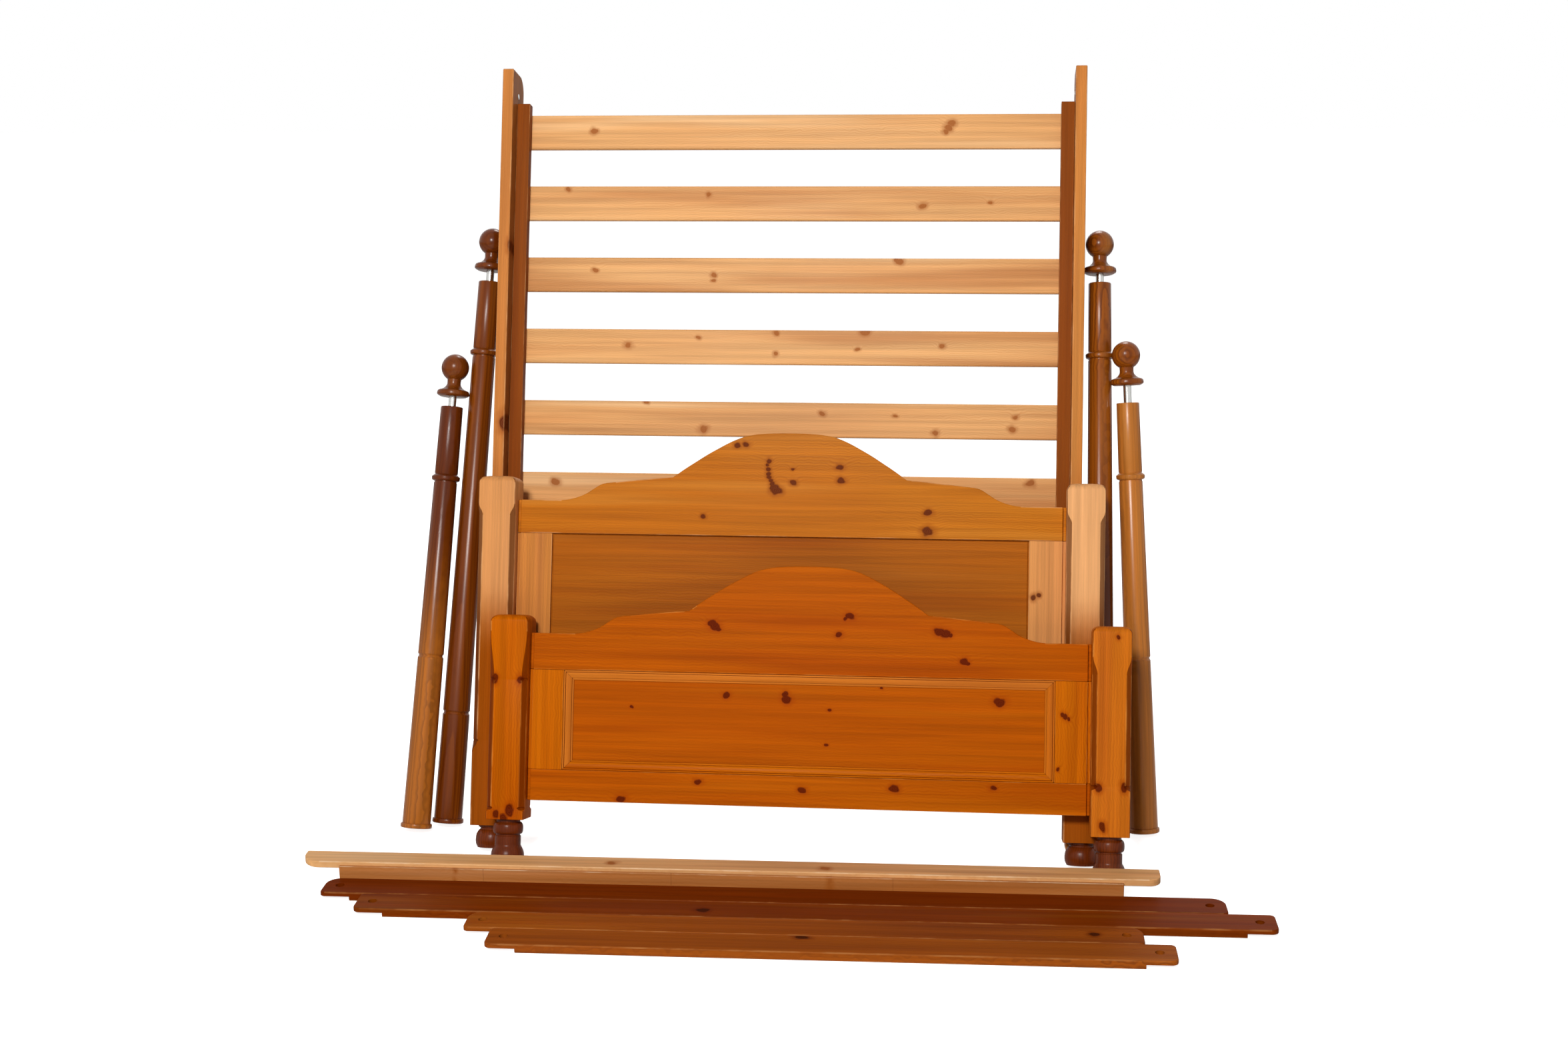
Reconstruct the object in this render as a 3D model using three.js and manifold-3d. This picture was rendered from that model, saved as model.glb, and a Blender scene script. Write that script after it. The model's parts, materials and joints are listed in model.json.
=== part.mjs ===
import * as THREE from 'three';
import { mergeVertices } from 'three/addons/utils/BufferGeometryUtils.js';
import Module from 'manifold-3d';

// Four-poster bed taken apart and stacked, in millimetres, +Z up
// X runs along the width of the bed, Y away from the viewer

// Running clearances
const GAP = 0.3;
const LEAN_GAP = 0.1;
const HOLE_CLEARANCE = 0.5;

// The stack of base, headboard and footboard leans back by this angle
const LEAN = THREE.MathUtils.degToRad(16.64);

// Slatted base
const BASE_SHIFT = -29;
const BASE_W = 1470;
const RAIL_L = 1929;
const RAIL_H = 120;
const RAIL_T = 28;
const RAIL_CORNER_R = 42;
const LEDGER_W = 33;
const LEDGER_H = 30;
const LEDGER_FROM_EDGE = 50;
const LEDGER_TOP_OVERRUN = 23;
const LEDGER_BOTTOM_OVERRUN = 4;
const SLAT_COUNT = 10;
const SLAT_W = 88;
const SLAT_T = 18;
const SLAT_FIRST = 101;
const SLAT_LAST = 176.5;
const SLAT_PITCH = (RAIL_L - SLAT_FIRST - SLAT_LAST) / (SLAT_COUNT - 1);
const SLAT_END_GAP = 1;
const BARREL_R = 7;
const BARREL_L = 20;
const BARREL_FROM_END = 58;
const BARREL_PROUD = 1.2;

// Square lower posts with chamfered shafts
const POST_W = 92;
const POST_CENTRES = BASE_W - RAIL_T;
const ARRIS = 1.5;
const CHAMFER = 12;
const NICK = 4;
const NICK_L = 7;
const DOME_H = 16;

// How the chamfers stop: plain block and tongue at each end, with or without a nick
const HEAD_STOPS = { topBlock: 70, topTongue: 28, topNick: false, lowBlock: 180, lowTongue: 24, lowNick: true };
const FOOT_LEFT_STOPS = { topBlock: 40, topTongue: 112, topNick: true, lowBlock: 20, lowTongue: 4, lowNick: true };
const FOOT_RIGHT_STOPS = { topBlock: 72, topTongue: 42, topNick: false, lowBlock: 108, lowTongue: 6, lowNick: true };

// Panelled frames of the two boards
const FRAME_T = 30;
const FRAME_RECESS = 29;
const GROOVE_W = 10;
const GROOVE_D = 8;
const BOARD_GAP = 9;
const TENON_T = 10;
const TENON_L = 30;
const TENON_MARGIN = 12;
const ARCH = [
  [565, 0], [545, 2.5], [522, 9], [502, 18], [482, 31], [462, 42], [430, 46.5], [380, 52], [330, 57],
  [288, 60], [259, 81], [230, 100], [202, 118], [174, 134], [146, 149], [117, 161], [88, 167.5],
  [58, 170.5], [29, 171.8], [0, 172],
];

// Headboard
const HEAD_SHIFT = -7;
const HEAD_FOOT_H = 56;
const HEAD_POST_TOP = 916;
const HEAD_BASELINE = 859;
const HEAD_TOP_RAIL = 82;
const HEAD_STILE = 80;
const HEAD_BOTTOM_RAIL = 90;
const HEAD_BOTTOM_EDGE = 270;

// Footboard
const FOOT_SHIFT = 54;
const FOOT_FOOT_H = 108;
const FOOT_POST_TOP = 601;
const FOOT_BASELINE = 558;
const FOOT_TOP_RAIL = 88;
const FOOT_STILE = 76;
const FOOT_BOTTOM_RAIL = 75;
const FOOT_BOTTOM_EDGE = 154;
const PANEL_MARGIN = 3;
const FLAT_RECESS = 6;
const MOULD_RECESS = 1;
const MOULD_SLOPE = 6;
const MOULD_W = 24;
const FIELD_RECESS = 10;

// Turned feet
const FOOT_BULB_R = 40;
const FOOT_BEAD_R = 36.5;
const FOOT_NECK_R = 29;
const FOOT_NECK_H = 10;
const FOOT_BEAD_H = 28;
const FOOT_GROOVE_H = 4;
const FOOT_PAD_R = 35;

// Loose turned upper posts
const SHORT_POST = 1072;
const LONG_POST = SHORT_POST + HEAD_POST_TOP - FOOT_POST_TOP;
const UPPER_TOP_R = 28;
const UPPER_BOTTOM_R = 35.5;
const UPPER_RIM_R = 39;
const UPPER_RIM_H = 12;
const UPPER_RING_R = 35.5;
const UPPER_RING_H = 22;
const UPPER_RING_DROP = 182;
const UPPER_GROOVE_DEPTH = 3;
const UPPER_GROOVE_H = 10;
const SHORT_GROOVE_RISE = 435;
const LONG_GROOVE_RISE = 280;
const BORE_DEPTH = 28;

// How each loose post stands: its foot out from the side rail and back, how far back its top
// reaches, how far across it may lean at most, and how much of its pin shows
const LOOSE = {
  back_left: { out: 113, back: 102, topBack: 506, lean: 220, exposed: 29 },
  back_right: { out: 60, back: 115, topBack: 520, lean: -160, exposed: 23 },
  front_left: { out: 184, back: 60, topBack: 388, lean: 220, exposed: 26 },
  front_right: { out: 171, back: 182, topBack: 410, lean: -200, exposed: 43 },
};

// Finials and their steel pins
const PIN_R = 10;
const PIN_SOCKET = 26;
const FLANGE_R = 41;
const FLANGE_H = 20;
const FINIAL_NECK_R = 17.5;
const BALL_R = 35;
const BALL_RISE = 75;
const FINIAL_LIFT = BORE_DEPTH + 2;

// Canopy rails lying in front of the feet
const CANOPY_W = 85;
const CANOPY_T = 21;
const LAP_L = 70;
const LAP_HOLE_INSET = 38;
const CANOPY_LONG = RAIL_L + POST_W + 2 * LAP_HOLE_INSET;
const CANOPY_SHORT = POST_CENTRES + 2 * LAP_HOLE_INSET;
const LAP_OUTER_R = 34;
const LAP_INNER_R = 12;
const PILE_TURN = THREE.MathUtils.degToRad(1.3);
const PILE_LEFT = -1069;
const LONG_FRONT_SHIFT = 101;
const SHORT_BACK_SHIFT = 378;
const SHORT_FRONT_SHIFT = 443;

// Pale centre rail on its batten
const CENTRE_L = 2025;
const CENTRE_W = 64;
const CENTRE_T = 17;
const CENTRE_LEFT_R = 45;
const CENTRE_RIGHT_R = 28;
const CENTRE_START = -71;
const BATTEN_W = 40;
const BATTEN_H = 50;
const BATTEN_L = 1844;
const BATTEN_INSET = 95;
const BATTEN_LIP = 8;
const BATTEN_LIP_H = 9;

const ROUND_STEPS = 24;
const ROD_STEPS = 16;
const CORNER_STEPS = 5;

const wasm = await Module();
wasm.setup();

// Materials, one for each kind of finish
const finishes = {
  palePine: [0xd99a5c, 0.42, 0],
  honeyPine: [0xb87430, 0.38, 0],
  amberPine: [0xb85c10, 0.36, 0],
  darkPine: [0x7d420f, 0.34, 0],
  walnutStain: [0x6f3a14, 0.3, 0],
  darkFoot: [0x4a2514, 0.36, 0],
  steel: [0xc8c8c4, 0.28, 1],
};

function material(finish) {
  const [color, roughness, metalness] = finishes[finish];
  return new THREE.MeshStandardMaterial({ color, roughness, metalness });
}

// A closed, welded geometry whose faces point out
function solid(source) {
  const loose = source.index ? source.toNonIndexed() : source.clone();
  loose.deleteAttribute('normal');
  loose.deleteAttribute('uv');
  const welded = mergeVertices(loose, 1e-3);
  const old = welded.index.array;
  const kept = [];
  for (let i = 0; i < old.length; i += 3) {
    const [a, b, c] = [old[i], old[i + 1], old[i + 2]];
    if (a !== b && b !== c && a !== c) kept.push(a, b, c);
  }
  const p = welded.attributes.position;
  const [u, v, w] = [new THREE.Vector3(), new THREE.Vector3(), new THREE.Vector3()];
  let volume = 0;
  for (let i = 0; i < kept.length; i += 3) {
    u.fromBufferAttribute(p, kept[i]);
    v.fromBufferAttribute(p, kept[i + 1]);
    w.fromBufferAttribute(p, kept[i + 2]);
    volume += u.dot(v.cross(w));
  }
  if (volume < 0) {
    for (let i = 0; i < kept.length; i += 3) {
      [kept[i + 1], kept[i + 2]] = [kept[i + 2], kept[i + 1]];
    }
  }
  welded.setIndex(kept);
  return welded;
}

function toManifold(geometry) {
  const clean = solid(geometry);
  return new wasm.Manifold(new wasm.Mesh({
    numProp: 3,
    vertProperties: Float32Array.from(clean.attributes.position.array),
    triVerts: Uint32Array.from(clean.index.array),
  }));
}

function cut(geometry, tools) {
  let body = toManifold(geometry);
  for (const tool of tools) body = body.subtract(toManifold(tool));
  return fromManifold(body);
}

function join(geometry, extras) {
  let body = toManifold(geometry);
  for (const extra of extras) body = body.add(toManifold(extra));
  return fromManifold(body);
}

function fromManifold(body) {
  const mesh = body.getMesh();
  const result = new THREE.BufferGeometry();
  result.setAttribute('position', new THREE.BufferAttribute(mesh.vertProperties, 3));
  result.setIndex(new THREE.BufferAttribute(mesh.triVerts, 1));
  return result;
}

// A box given by its lower and upper corner
function block(x0, x1, y0, y1, z0, z1) {
  const box = new THREE.BoxGeometry(x1 - x0, y1 - y0, z1 - z0);
  return box.translate((x0 + x1) / 2, (y0 + y1) / 2, (z0 + z1) / 2);
}

// A turned piece standing on Z from its half outline of radius and height
function turned(outline, steps = ROUND_STEPS) {
  const points = outline.map(([r, z]) => new THREE.Vector2(r, z));
  return new THREE.LatheGeometry(points, steps).rotateX(Math.PI / 2);
}

function rod(radius, z0, z1, steps = ROD_STEPS) {
  return turned([[0, z0], [radius, z0], [radius, z1], [0, z1]], steps);
}

// A solid through rings of equal point count, each ring seen counter-clockwise from above
function loft(rings) {
  const count = rings[0].length;
  const positions = [];
  const corner = (ring, i) => positions.push(...rings[ring][i % count]);
  for (let k = 0; k + 1 < rings.length; k += 1) {
    for (let i = 0; i < count; i += 1) {
      corner(k, i);
      corner(k, i + 1);
      corner(k + 1, i + 1);
      corner(k, i);
      corner(k + 1, i + 1);
      corner(k + 1, i);
    }
  }
  const last = rings.length - 1;
  for (let i = 1; i + 1 < count; i += 1) {
    corner(0, 0);
    corner(0, i + 1);
    corner(0, i);
    corner(last, 0);
    corner(last, i);
    corner(last, i + 1);
  }
  const shape = new THREE.BufferGeometry();
  shape.setAttribute('position', new THREE.Float32BufferAttribute(positions, 3));
  return shape;
}

// A square ring of half width h whose corners are taken off by c
function octagon(h, c, z) {
  const k = h - c;
  return [[h, -k, z], [h, k, z], [k, h, z], [-k, h, z], [-h, k, z], [-h, -k, z], [-k, -h, z], [k, -h, z]];
}

// Outline in X and Z pushed along Y from y0 to y1
function slab(outline, y0, y1) {
  const shape = new THREE.Shape(outline.map(([x, z]) => new THREE.Vector2(x, z)));
  const body = new THREE.ExtrudeGeometry(shape, { depth: y1 - y0, bevelEnabled: false });
  return body.rotateX(Math.PI / 2).translate(0, y1, 0);
}

// Outline in X and Y pushed up from z0 to z1
function plate(outline, z0, z1) {
  const shape = new THREE.Shape(outline.map(([x, y]) => new THREE.Vector2(x, y)));
  const body = new THREE.ExtrudeGeometry(shape, { depth: z1 - z0, bevelEnabled: false });
  return body.translate(0, 0, z0);
}

// Outline in Y and Z pushed along X from x0 to x1
function beam(outline, x0, x1) {
  const shape = new THREE.Shape(outline.map(([y, z]) => new THREE.Vector2(y, z)));
  const body = new THREE.ExtrudeGeometry(shape, { depth: x1 - x0, bevelEnabled: false });
  const turn = new THREE.Matrix4().makeBasis(
    new THREE.Vector3(0, 1, 0),
    new THREE.Vector3(0, 0, 1),
    new THREE.Vector3(1, 0, 0),
  );
  return body.applyMatrix4(turn).translate(x0, 0, 0);
}

// Rectangle with its own radius at each corner: lower left, lower right, upper right, upper left
function roundedRect(x0, x1, y0, y1, radii) {
  const corners = [
    [x0, y0, Math.PI, 1, 1],
    [x1, y0, -Math.PI / 2, -1, 1],
    [x1, y1, 0, -1, -1],
    [x0, y1, Math.PI / 2, 1, -1],
  ];
  const points = [];
  corners.forEach(([x, y, start, sx, sy], i) => {
    const r = radii[i];
    if (r === 0) {
      points.push([x, y]);
      return;
    }
    for (let k = 0; k <= CORNER_STEPS; k += 1) {
      const angle = start + (k / CORNER_STEPS) * (Math.PI / 2);
      points.push([x + sx * r + r * Math.cos(angle), y + sy * r + r * Math.sin(angle)]);
    }
  });
  return points;
}

function add(parent, name, geometry, finish, position = [0, 0, 0]) {
  const mesh = new THREE.Mesh(solid(geometry), material(finish));
  mesh.name = name;
  mesh.position.set(...position);
  parent.add(mesh);
  return mesh;
}

const part = new THREE.Group();
const model = new THREE.Group();
part.add(model);

const stack = new THREE.Group();
stack.rotation.x = -LEAN;
model.add(stack);

// Slatted base: its near edge lies in the plane y = 0 of the stack
const railCorner = RAIL_H - RAIL_CORNER_R;
const baseDrop = RAIL_CORNER_R * (1 - Math.cos(LEAN)) + railCorner * Math.sin(LEAN);
const base = new THREE.Group();
base.position.set(BASE_SHIFT, 0, baseDrop / Math.cos(LEAN));
stack.add(base);

const railInner = BASE_W / 2 - RAIL_T;
const railOutline = roundedRect(0, RAIL_H, 0, RAIL_L, [0, RAIL_CORNER_R, RAIL_CORNER_R, 0]);
const slatTop = (i) => RAIL_L - SLAT_FIRST - i * SLAT_PITCH;
const ledgerBottom = slatTop(SLAT_COUNT - 1) - SLAT_W - LEDGER_BOTTOM_OVERRUN;
const ledgerTop = slatTop(0) + LEDGER_TOP_OVERRUN;
const slatNear = LEDGER_FROM_EDGE + LEDGER_H + GAP;

for (const [side, sign] of [['left', -1], ['right', 1]]) {
  const inner = sign * railInner;
  const outer = sign * (railInner + RAIL_T);
  const nutHoles = [BARREL_FROM_END, RAIL_L - BARREL_FROM_END].map((z) => {
    const hole = rod(BARREL_R + HOLE_CLEARANCE, -RAIL_T, BARREL_L - BARREL_PROUD + GAP);
    return hole.rotateY((sign * Math.PI) / 2).translate(inner, RAIL_H / 2, z);
  });
  const rail = beam(railOutline, Math.min(inner, outer), Math.max(inner, outer));
  add(base, `side_rail_${side}`, cut(rail, nutHoles), 'honeyPine');
  const ledgerIn = inner - sign * (GAP + LEDGER_W);
  const ledgerOut = inner - sign * GAP;
  const ledger = block(
    Math.min(ledgerIn, ledgerOut),
    Math.max(ledgerIn, ledgerOut),
    LEDGER_FROM_EDGE,
    LEDGER_FROM_EDGE + LEDGER_H,
    ledgerBottom,
    ledgerTop,
  );
  add(base, `ledger_${side}`, ledger, 'honeyPine');
  [['lower', BARREL_FROM_END], ['upper', RAIL_L - BARREL_FROM_END]].forEach(([end, z]) => {
    const nut = rod(BARREL_R, -BARREL_PROUD, BARREL_L - BARREL_PROUD).rotateY((sign * Math.PI) / 2);
    add(base, `barrel_nut_${side}_${end}`, nut, 'steel', [inner, RAIL_H / 2, z]);
  });
}

for (let i = 0; i < SLAT_COUNT; i += 1) {
  const half = railInner - SLAT_END_GAP;
  const slat = block(-half, half, slatNear, slatNear + SLAT_T, slatTop(i) - SLAT_W, slatTop(i));
  add(base, `slat_${String(i + 1).padStart(2, '0')}`, slat, 'palePine');
}

// Square post from z0 to z1: blocks at both ends, stopped chamfers on the shaft between them
function squarePost(z0, z1, stops) {
  const h = POST_W / 2;
  const rings = [octagon(h, ARRIS, z0), octagon(h, ARRIS, z0 + stops.lowBlock)];
  const ease = (u) => ARRIS + (CHAMFER - ARRIS) * u * u * (3 - 2 * u);
  const lower = z0 + stops.lowBlock;
  const upper = z1 - stops.topBlock;
  for (const u of [0.25, 0.5, 0.75, 1]) rings.push(octagon(h, ease(u), lower + stops.lowTongue * u));
  if (stops.lowNick) {
    rings.push(octagon(h, CHAMFER + NICK, lower + stops.lowTongue + NICK_L / 2));
    rings.push(octagon(h, CHAMFER, lower + stops.lowTongue + NICK_L));
  }
  if (stops.topNick) {
    rings.push(octagon(h, CHAMFER, upper - stops.topTongue - NICK_L));
    rings.push(octagon(h, CHAMFER + NICK, upper - stops.topTongue - NICK_L / 2));
  }
  for (const u of [1, 0.75, 0.5, 0.25, 0]) rings.push(octagon(h, ease(u), upper - stops.topTongue * u));
  const domeSteps = 5;
  for (let k = 0; k <= domeSteps; k += 1) {
    const angle = (k / domeSteps) * (Math.PI / 2) * 0.96;
    const inset = DOME_H * 1.1 * (1 - Math.cos(angle));
    rings.push(octagon(h - inset, ARRIS + inset * 0.7, z1 - DOME_H + DOME_H * Math.sin(angle)));
  }
  return loft(rings);
}

// Turned foot standing on z = 0 and ending under the post at height
function turnedFoot(height) {
  const bulbTop = height - FOOT_NECK_H - FOOT_BEAD_H - FOOT_GROOVE_H;
  const bulb = [];
  const steps = 8;
  const low = Math.asin(FOOT_PAD_R / FOOT_BULB_R);
  for (let k = 0; k <= steps; k += 1) {
    const angle = low + (k / steps) * (Math.PI - 2.1 * low + 0.9);
    const r = FOOT_BULB_R * Math.sin(Math.min(angle, Math.PI - 0.9));
    bulb.push([r, (bulbTop * k) / steps]);
  }
  const top = bulb[bulb.length - 1][0];
  return turned([
    [0, 0],
    ...bulb,
    [top, bulbTop + FOOT_GROOVE_H],
    [FOOT_BEAD_R - 3, bulbTop + FOOT_GROOVE_H + 2],
    [FOOT_BEAD_R, bulbTop + FOOT_GROOVE_H + FOOT_BEAD_H * 0.3],
    [FOOT_BEAD_R, bulbTop + FOOT_GROOVE_H + FOOT_BEAD_H * 0.7],
    [FOOT_BEAD_R - 3, bulbTop + FOOT_GROOVE_H + FOOT_BEAD_H],
    [FOOT_NECK_R, bulbTop + FOOT_GROOVE_H + FOOT_BEAD_H + 2],
    [FOOT_NECK_R, height - GAP],
    [0, height - GAP],
  ]);
}

// Low bun foot of the headboard
function bunFoot(height) {
  return turned([
    [0, 0],
    [FOOT_PAD_R, 0],
    [FOOT_BULB_R - 1, height * 0.16],
    [FOOT_BULB_R, height * 0.36],
    [FOOT_BULB_R - 2, height * 0.58],
    [FOOT_BULB_R - 7, height * 0.74],
    [FOOT_NECK_R, height * 0.8],
    [FOOT_NECK_R, height * 0.86],
    [FOOT_BEAD_R - 3, height * 0.9],
    [FOOT_BEAD_R - 3, height - GAP],
    [0, height - GAP],
  ]);
}

// A board of the bed: two posts on feet, with a frame of stiles, rails and a panel between them
function makeBoard(prefix, spec) {
  const board = new THREE.Group();
  const finish = spec.finish;
  const centre = -POST_W / 2;
  const frameNear = -POST_W + FRAME_RECESS;
  const frameFar = frameNear + FRAME_T;
  const frameMid = (frameNear + frameFar) / 2;
  const postFace = POST_CENTRES / 2 - POST_W / 2;
  const half = postFace - BOARD_GAP;
  const stileIn = half - spec.stile;
  const bottom = spec.bottomEdge;
  const openLow = bottom + spec.bottomRail;
  const openHigh = spec.baseline - spec.topRail;

  for (const [side, sign] of [['left', -1], ['right', 1]]) {
    const x = (sign * POST_CENTRES) / 2;
    const post = squarePost(spec.footH, spec.postTop, spec.stops[side]).translate(x, centre, 0);
    const slotIn = sign * (postFace - 1);
    const slotOut = sign * (postFace + GROOVE_D + GAP);
    const slot = block(
      Math.min(slotIn, slotOut),
      Math.max(slotIn, slotOut),
      frameMid - GROOVE_W / 2 - GAP,
      frameMid + GROOVE_W / 2 + GAP,
      bottom - GAP,
      spec.baseline + GAP,
    );
    add(board, `${prefix}_post_${side}`, cut(post, [slot]), finish);
    const foot = spec.bun ? bunFoot(spec.footH) : turnedFoot(spec.footH);
    add(board, `${prefix}_foot_${side}`, foot, 'darkFoot', [x, centre, 0]);

    // Stile between the rails, with a tongue in the post, a groove for the panel and two tenons
    const span = (from, to, low, high, thick) => block(
      Math.min(sign * from, sign * to),
      Math.max(sign * from, sign * to),
      frameMid - thick / 2,
      frameMid + thick / 2,
      low,
      high,
    );
    const [stileLow, stileHigh] = [openLow + GAP, openHigh - GAP];
    const stile = span(stileIn, half, stileLow, stileHigh, FRAME_T);
    const tongue = span(half - 1, postFace + GROOVE_D, stileLow, stileHigh, GROOVE_W);
    const [tenonIn, tenonOut] = [stileIn + TENON_MARGIN, half - TENON_MARGIN];
    const tenon = span(tenonIn, tenonOut, openLow - TENON_L, openHigh + TENON_L, TENON_T);
    const groove = span(
      stileIn - 1,
      stileIn + GROOVE_D + GAP,
      stileLow - 1,
      stileHigh + 1,
      GROOVE_W + 2 * GAP,
    );
    add(board, `${prefix}_stile_${side}`, cut(join(stile, [tongue, tenon]), [groove]), finish);
  }

  // Rails from post to post, each with a tongue in both posts, a groove for the panel and mortises
  const tongues = (low, high) => block(
    -postFace - GROOVE_D,
    postFace + GROOVE_D,
    frameMid - GROOVE_W / 2,
    frameMid + GROOVE_W / 2,
    low,
    high,
  );
  const slots = (grooveLow, grooveHigh, mortiseLow, mortiseHigh) => {
    const reach = stileIn + GROOVE_D + GAP;
    const thick = GROOVE_W / 2 + GAP;
    const grooves = [block(-reach, reach, frameMid - thick, frameMid + thick, grooveLow, grooveHigh)];
    for (const sign of [-1, 1]) {
      const ends = [sign * (stileIn + TENON_MARGIN - GAP), sign * (half - TENON_MARGIN + GAP)];
      grooves.push(block(
        Math.min(...ends),
        Math.max(...ends),
        frameMid - TENON_T / 2 - GAP,
        frameMid + TENON_T / 2 + GAP,
        mortiseLow,
        mortiseHigh,
      ));
    }
    return grooves;
  };
  const arch = [];
  for (const [x, z] of ARCH) arch.push([x, spec.baseline + z]);
  for (const [x, z] of ARCH.slice(0, -1).reverse()) arch.push([-x, spec.baseline + z]);
  const topOutline = [
    [-half, openHigh],
    [half, openHigh],
    [half, spec.baseline],
    ...arch,
    [-half, spec.baseline],
  ];
  const topRail = join(slab(topOutline, frameNear, frameFar), [tongues(openHigh, spec.baseline)]);
  const topSlots = slots(
    openHigh - 1,
    openHigh + GROOVE_D + GAP,
    openHigh - 1,
    openHigh + TENON_L + GAP,
  );
  add(board, `${prefix}_top_rail`, cut(topRail, topSlots), finish);

  const bottomBlock = block(-half, half, frameNear, frameFar, bottom, openLow);
  const bottomRail = join(bottomBlock, [tongues(bottom, openLow)]);
  const bottomSlots = slots(
    openLow - GROOVE_D - GAP,
    openLow + 1,
    openLow - TENON_L - GAP,
    openLow + 1,
  );
  add(board, `${prefix}_bottom_rail`, cut(bottomRail, bottomSlots), finish);

  // Panel: a thin tongue all round, and its flat field
  const edge = block(
    -stileIn - GROOVE_D + GAP,
    stileIn + GROOVE_D - GAP,
    frameMid - GROOVE_W / 2,
    frameMid + GROOVE_W / 2,
    openLow - GROOVE_D + GAP,
    openHigh + GROOVE_D - GAP,
  );
  const field = block(
    -stileIn + PANEL_MARGIN,
    stileIn - PANEL_MARGIN,
    frameNear + spec.fieldRecess,
    frameFar - FLAT_RECESS,
    openLow + PANEL_MARGIN,
    openHigh - PANEL_MARGIN,
  );
  add(board, `${prefix}_panel`, join(edge, [field]), finish);
  if (spec.moulded) addMoulding(board, prefix, finish, stileIn, openLow, openHigh, frameNear);
  return board;
}

// Four strips with mitred ends, planted on the panel against its frame and sloping in to the field
function addMoulding(board, prefix, finish, side, low, high, near) {
  const far = near + FIELD_RECESS - GAP;
  const outer = near + MOULD_RECESS;
  const inner = outer + MOULD_SLOPE;
  const corner = (inset, sx, sz) => {
    const x = sx * (side - inset);
    const z = sz > 0 ? high - inset : low + inset;
    return [x, z];
  };
  const strips = {
    top: [[-1, 1], [1, 1], [-GAP, 0]],
    bottom: [[1, -1], [-1, -1], [GAP, 0]],
    left: [[-1, -1], [-1, 1], [0, -GAP]],
    right: [[1, 1], [1, -1], [0, GAP]],
  };
  for (const [name, [from, to, back]] of Object.entries(strips)) {
    const section = (end, sign) => {
      const [ox, oz] = corner(GAP, ...end);
      const [ix, iz] = corner(MOULD_W, ...end);
      const [dx, dz] = back.map((v) => v * sign);
      return [
        [ox + dx, far, oz + dz],
        [ox + dx, outer, oz + dz],
        [ix + dx, inner, iz + dz],
        [ix + dx, far, iz + dz],
      ];
    };
    add(board, `${prefix}_moulding_${name}`, solid(loft([section(from, -1), section(to, 1)])), finish);
  }
}

const footContact = -POST_W / 2 + FOOT_PAD_R;
const head = makeBoard('head', {
  footH: HEAD_FOOT_H,
  bun: true,
  stops: { left: HEAD_STOPS, right: HEAD_STOPS },
  postTop: HEAD_POST_TOP,
  baseline: HEAD_BASELINE,
  topRail: HEAD_TOP_RAIL,
  stile: HEAD_STILE,
  bottomRail: HEAD_BOTTOM_RAIL,
  bottomEdge: HEAD_BOTTOM_EDGE,
  finish: 'honeyPine',
  fieldRecess: FLAT_RECESS,
  moulded: false,
});
const headY = -GAP;
head.position.set(HEAD_SHIFT, headY, (headY + footContact) * Math.tan(LEAN));
stack.add(head);

const foot = makeBoard('foot', {
  footH: FOOT_FOOT_H,
  bun: false,
  stops: { left: FOOT_LEFT_STOPS, right: FOOT_RIGHT_STOPS },
  postTop: FOOT_POST_TOP,
  baseline: FOOT_BASELINE,
  topRail: FOOT_TOP_RAIL,
  stile: FOOT_STILE,
  bottomRail: FOOT_BOTTOM_RAIL,
  bottomEdge: FOOT_BOTTOM_EDGE,
  finish: 'amberPine',
  fieldRecess: FIELD_RECESS,
  moulded: true,
});
const footY = headY - POST_W - GAP;
foot.position.set(FOOT_SHIFT, footY, (footY + footContact) * Math.tan(LEAN));
stack.add(foot);

// Outline of a loose upper post without its bore: radius and height from its lower end
function upperOutline(length) {
  const shaft = (z) => THREE.MathUtils.lerp(UPPER_BOTTOM_R, UPPER_TOP_R, z / length);
  const ring = length - UPPER_RING_DROP;
  const groove = length > SHORT_POST ? LONG_GROOVE_RISE : SHORT_GROOVE_RISE;
  const half = UPPER_RING_H / 2;
  const dip = UPPER_GROOVE_H / 2;
  return [
    [UPPER_RIM_R - 2, 0],
    [UPPER_RIM_R, 2],
    [UPPER_RIM_R, UPPER_RIM_H - 2],
    [shaft(UPPER_RIM_H), UPPER_RIM_H],
    [shaft(groove), groove - dip],
    [shaft(groove) - UPPER_GROOVE_DEPTH, groove],
    [shaft(groove), groove + dip],
    [shaft(ring), ring - half],
    [UPPER_RING_R - 2, ring - half + 3],
    [UPPER_RING_R, ring - half + 7],
    [UPPER_RING_R, ring + half - 9],
    [shaft(ring) + 1, ring + half - 5],
    [shaft(ring), ring + half],
    [UPPER_TOP_R, length - 1],
    [UPPER_TOP_R - 1, length],
  ];
}

function finialOutline() {
  const ball = [];
  const steps = 8;
  const start = Math.PI - Math.asin(FINIAL_NECK_R / BALL_R);
  for (let k = 0; k <= steps; k += 1) {
    const angle = start * (1 - k / steps);
    ball.push([BALL_R * Math.sin(angle), BALL_RISE + BALL_R * Math.cos(angle)]);
  }
  ball[ball.length - 1][0] = 0;
  return [
    [FLANGE_R - 8, 0],
    [FLANGE_R - 1, 4],
    [FLANGE_R, 8],
    [FLANGE_R - 2, FLANGE_H - 5],
    [FLANGE_R - 12, FLANGE_H - 1],
    [FINIAL_NECK_R + 5, FLANGE_H + 4],
    [FINIAL_NECK_R, FLANGE_H + 12],
    ...ball,
  ];
}

// Loose upper posts stand on the floor and lean, each until it touches what holds it
function axisOf(foot, topX, topY, length) {
  const dx = topX - foot[0];
  const dy = topY - foot[1];
  const dz = Math.sqrt(length * length - dx * dx - dy * dy);
  return new THREE.Vector3(dx, dy, dz).normalize();
}

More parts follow.
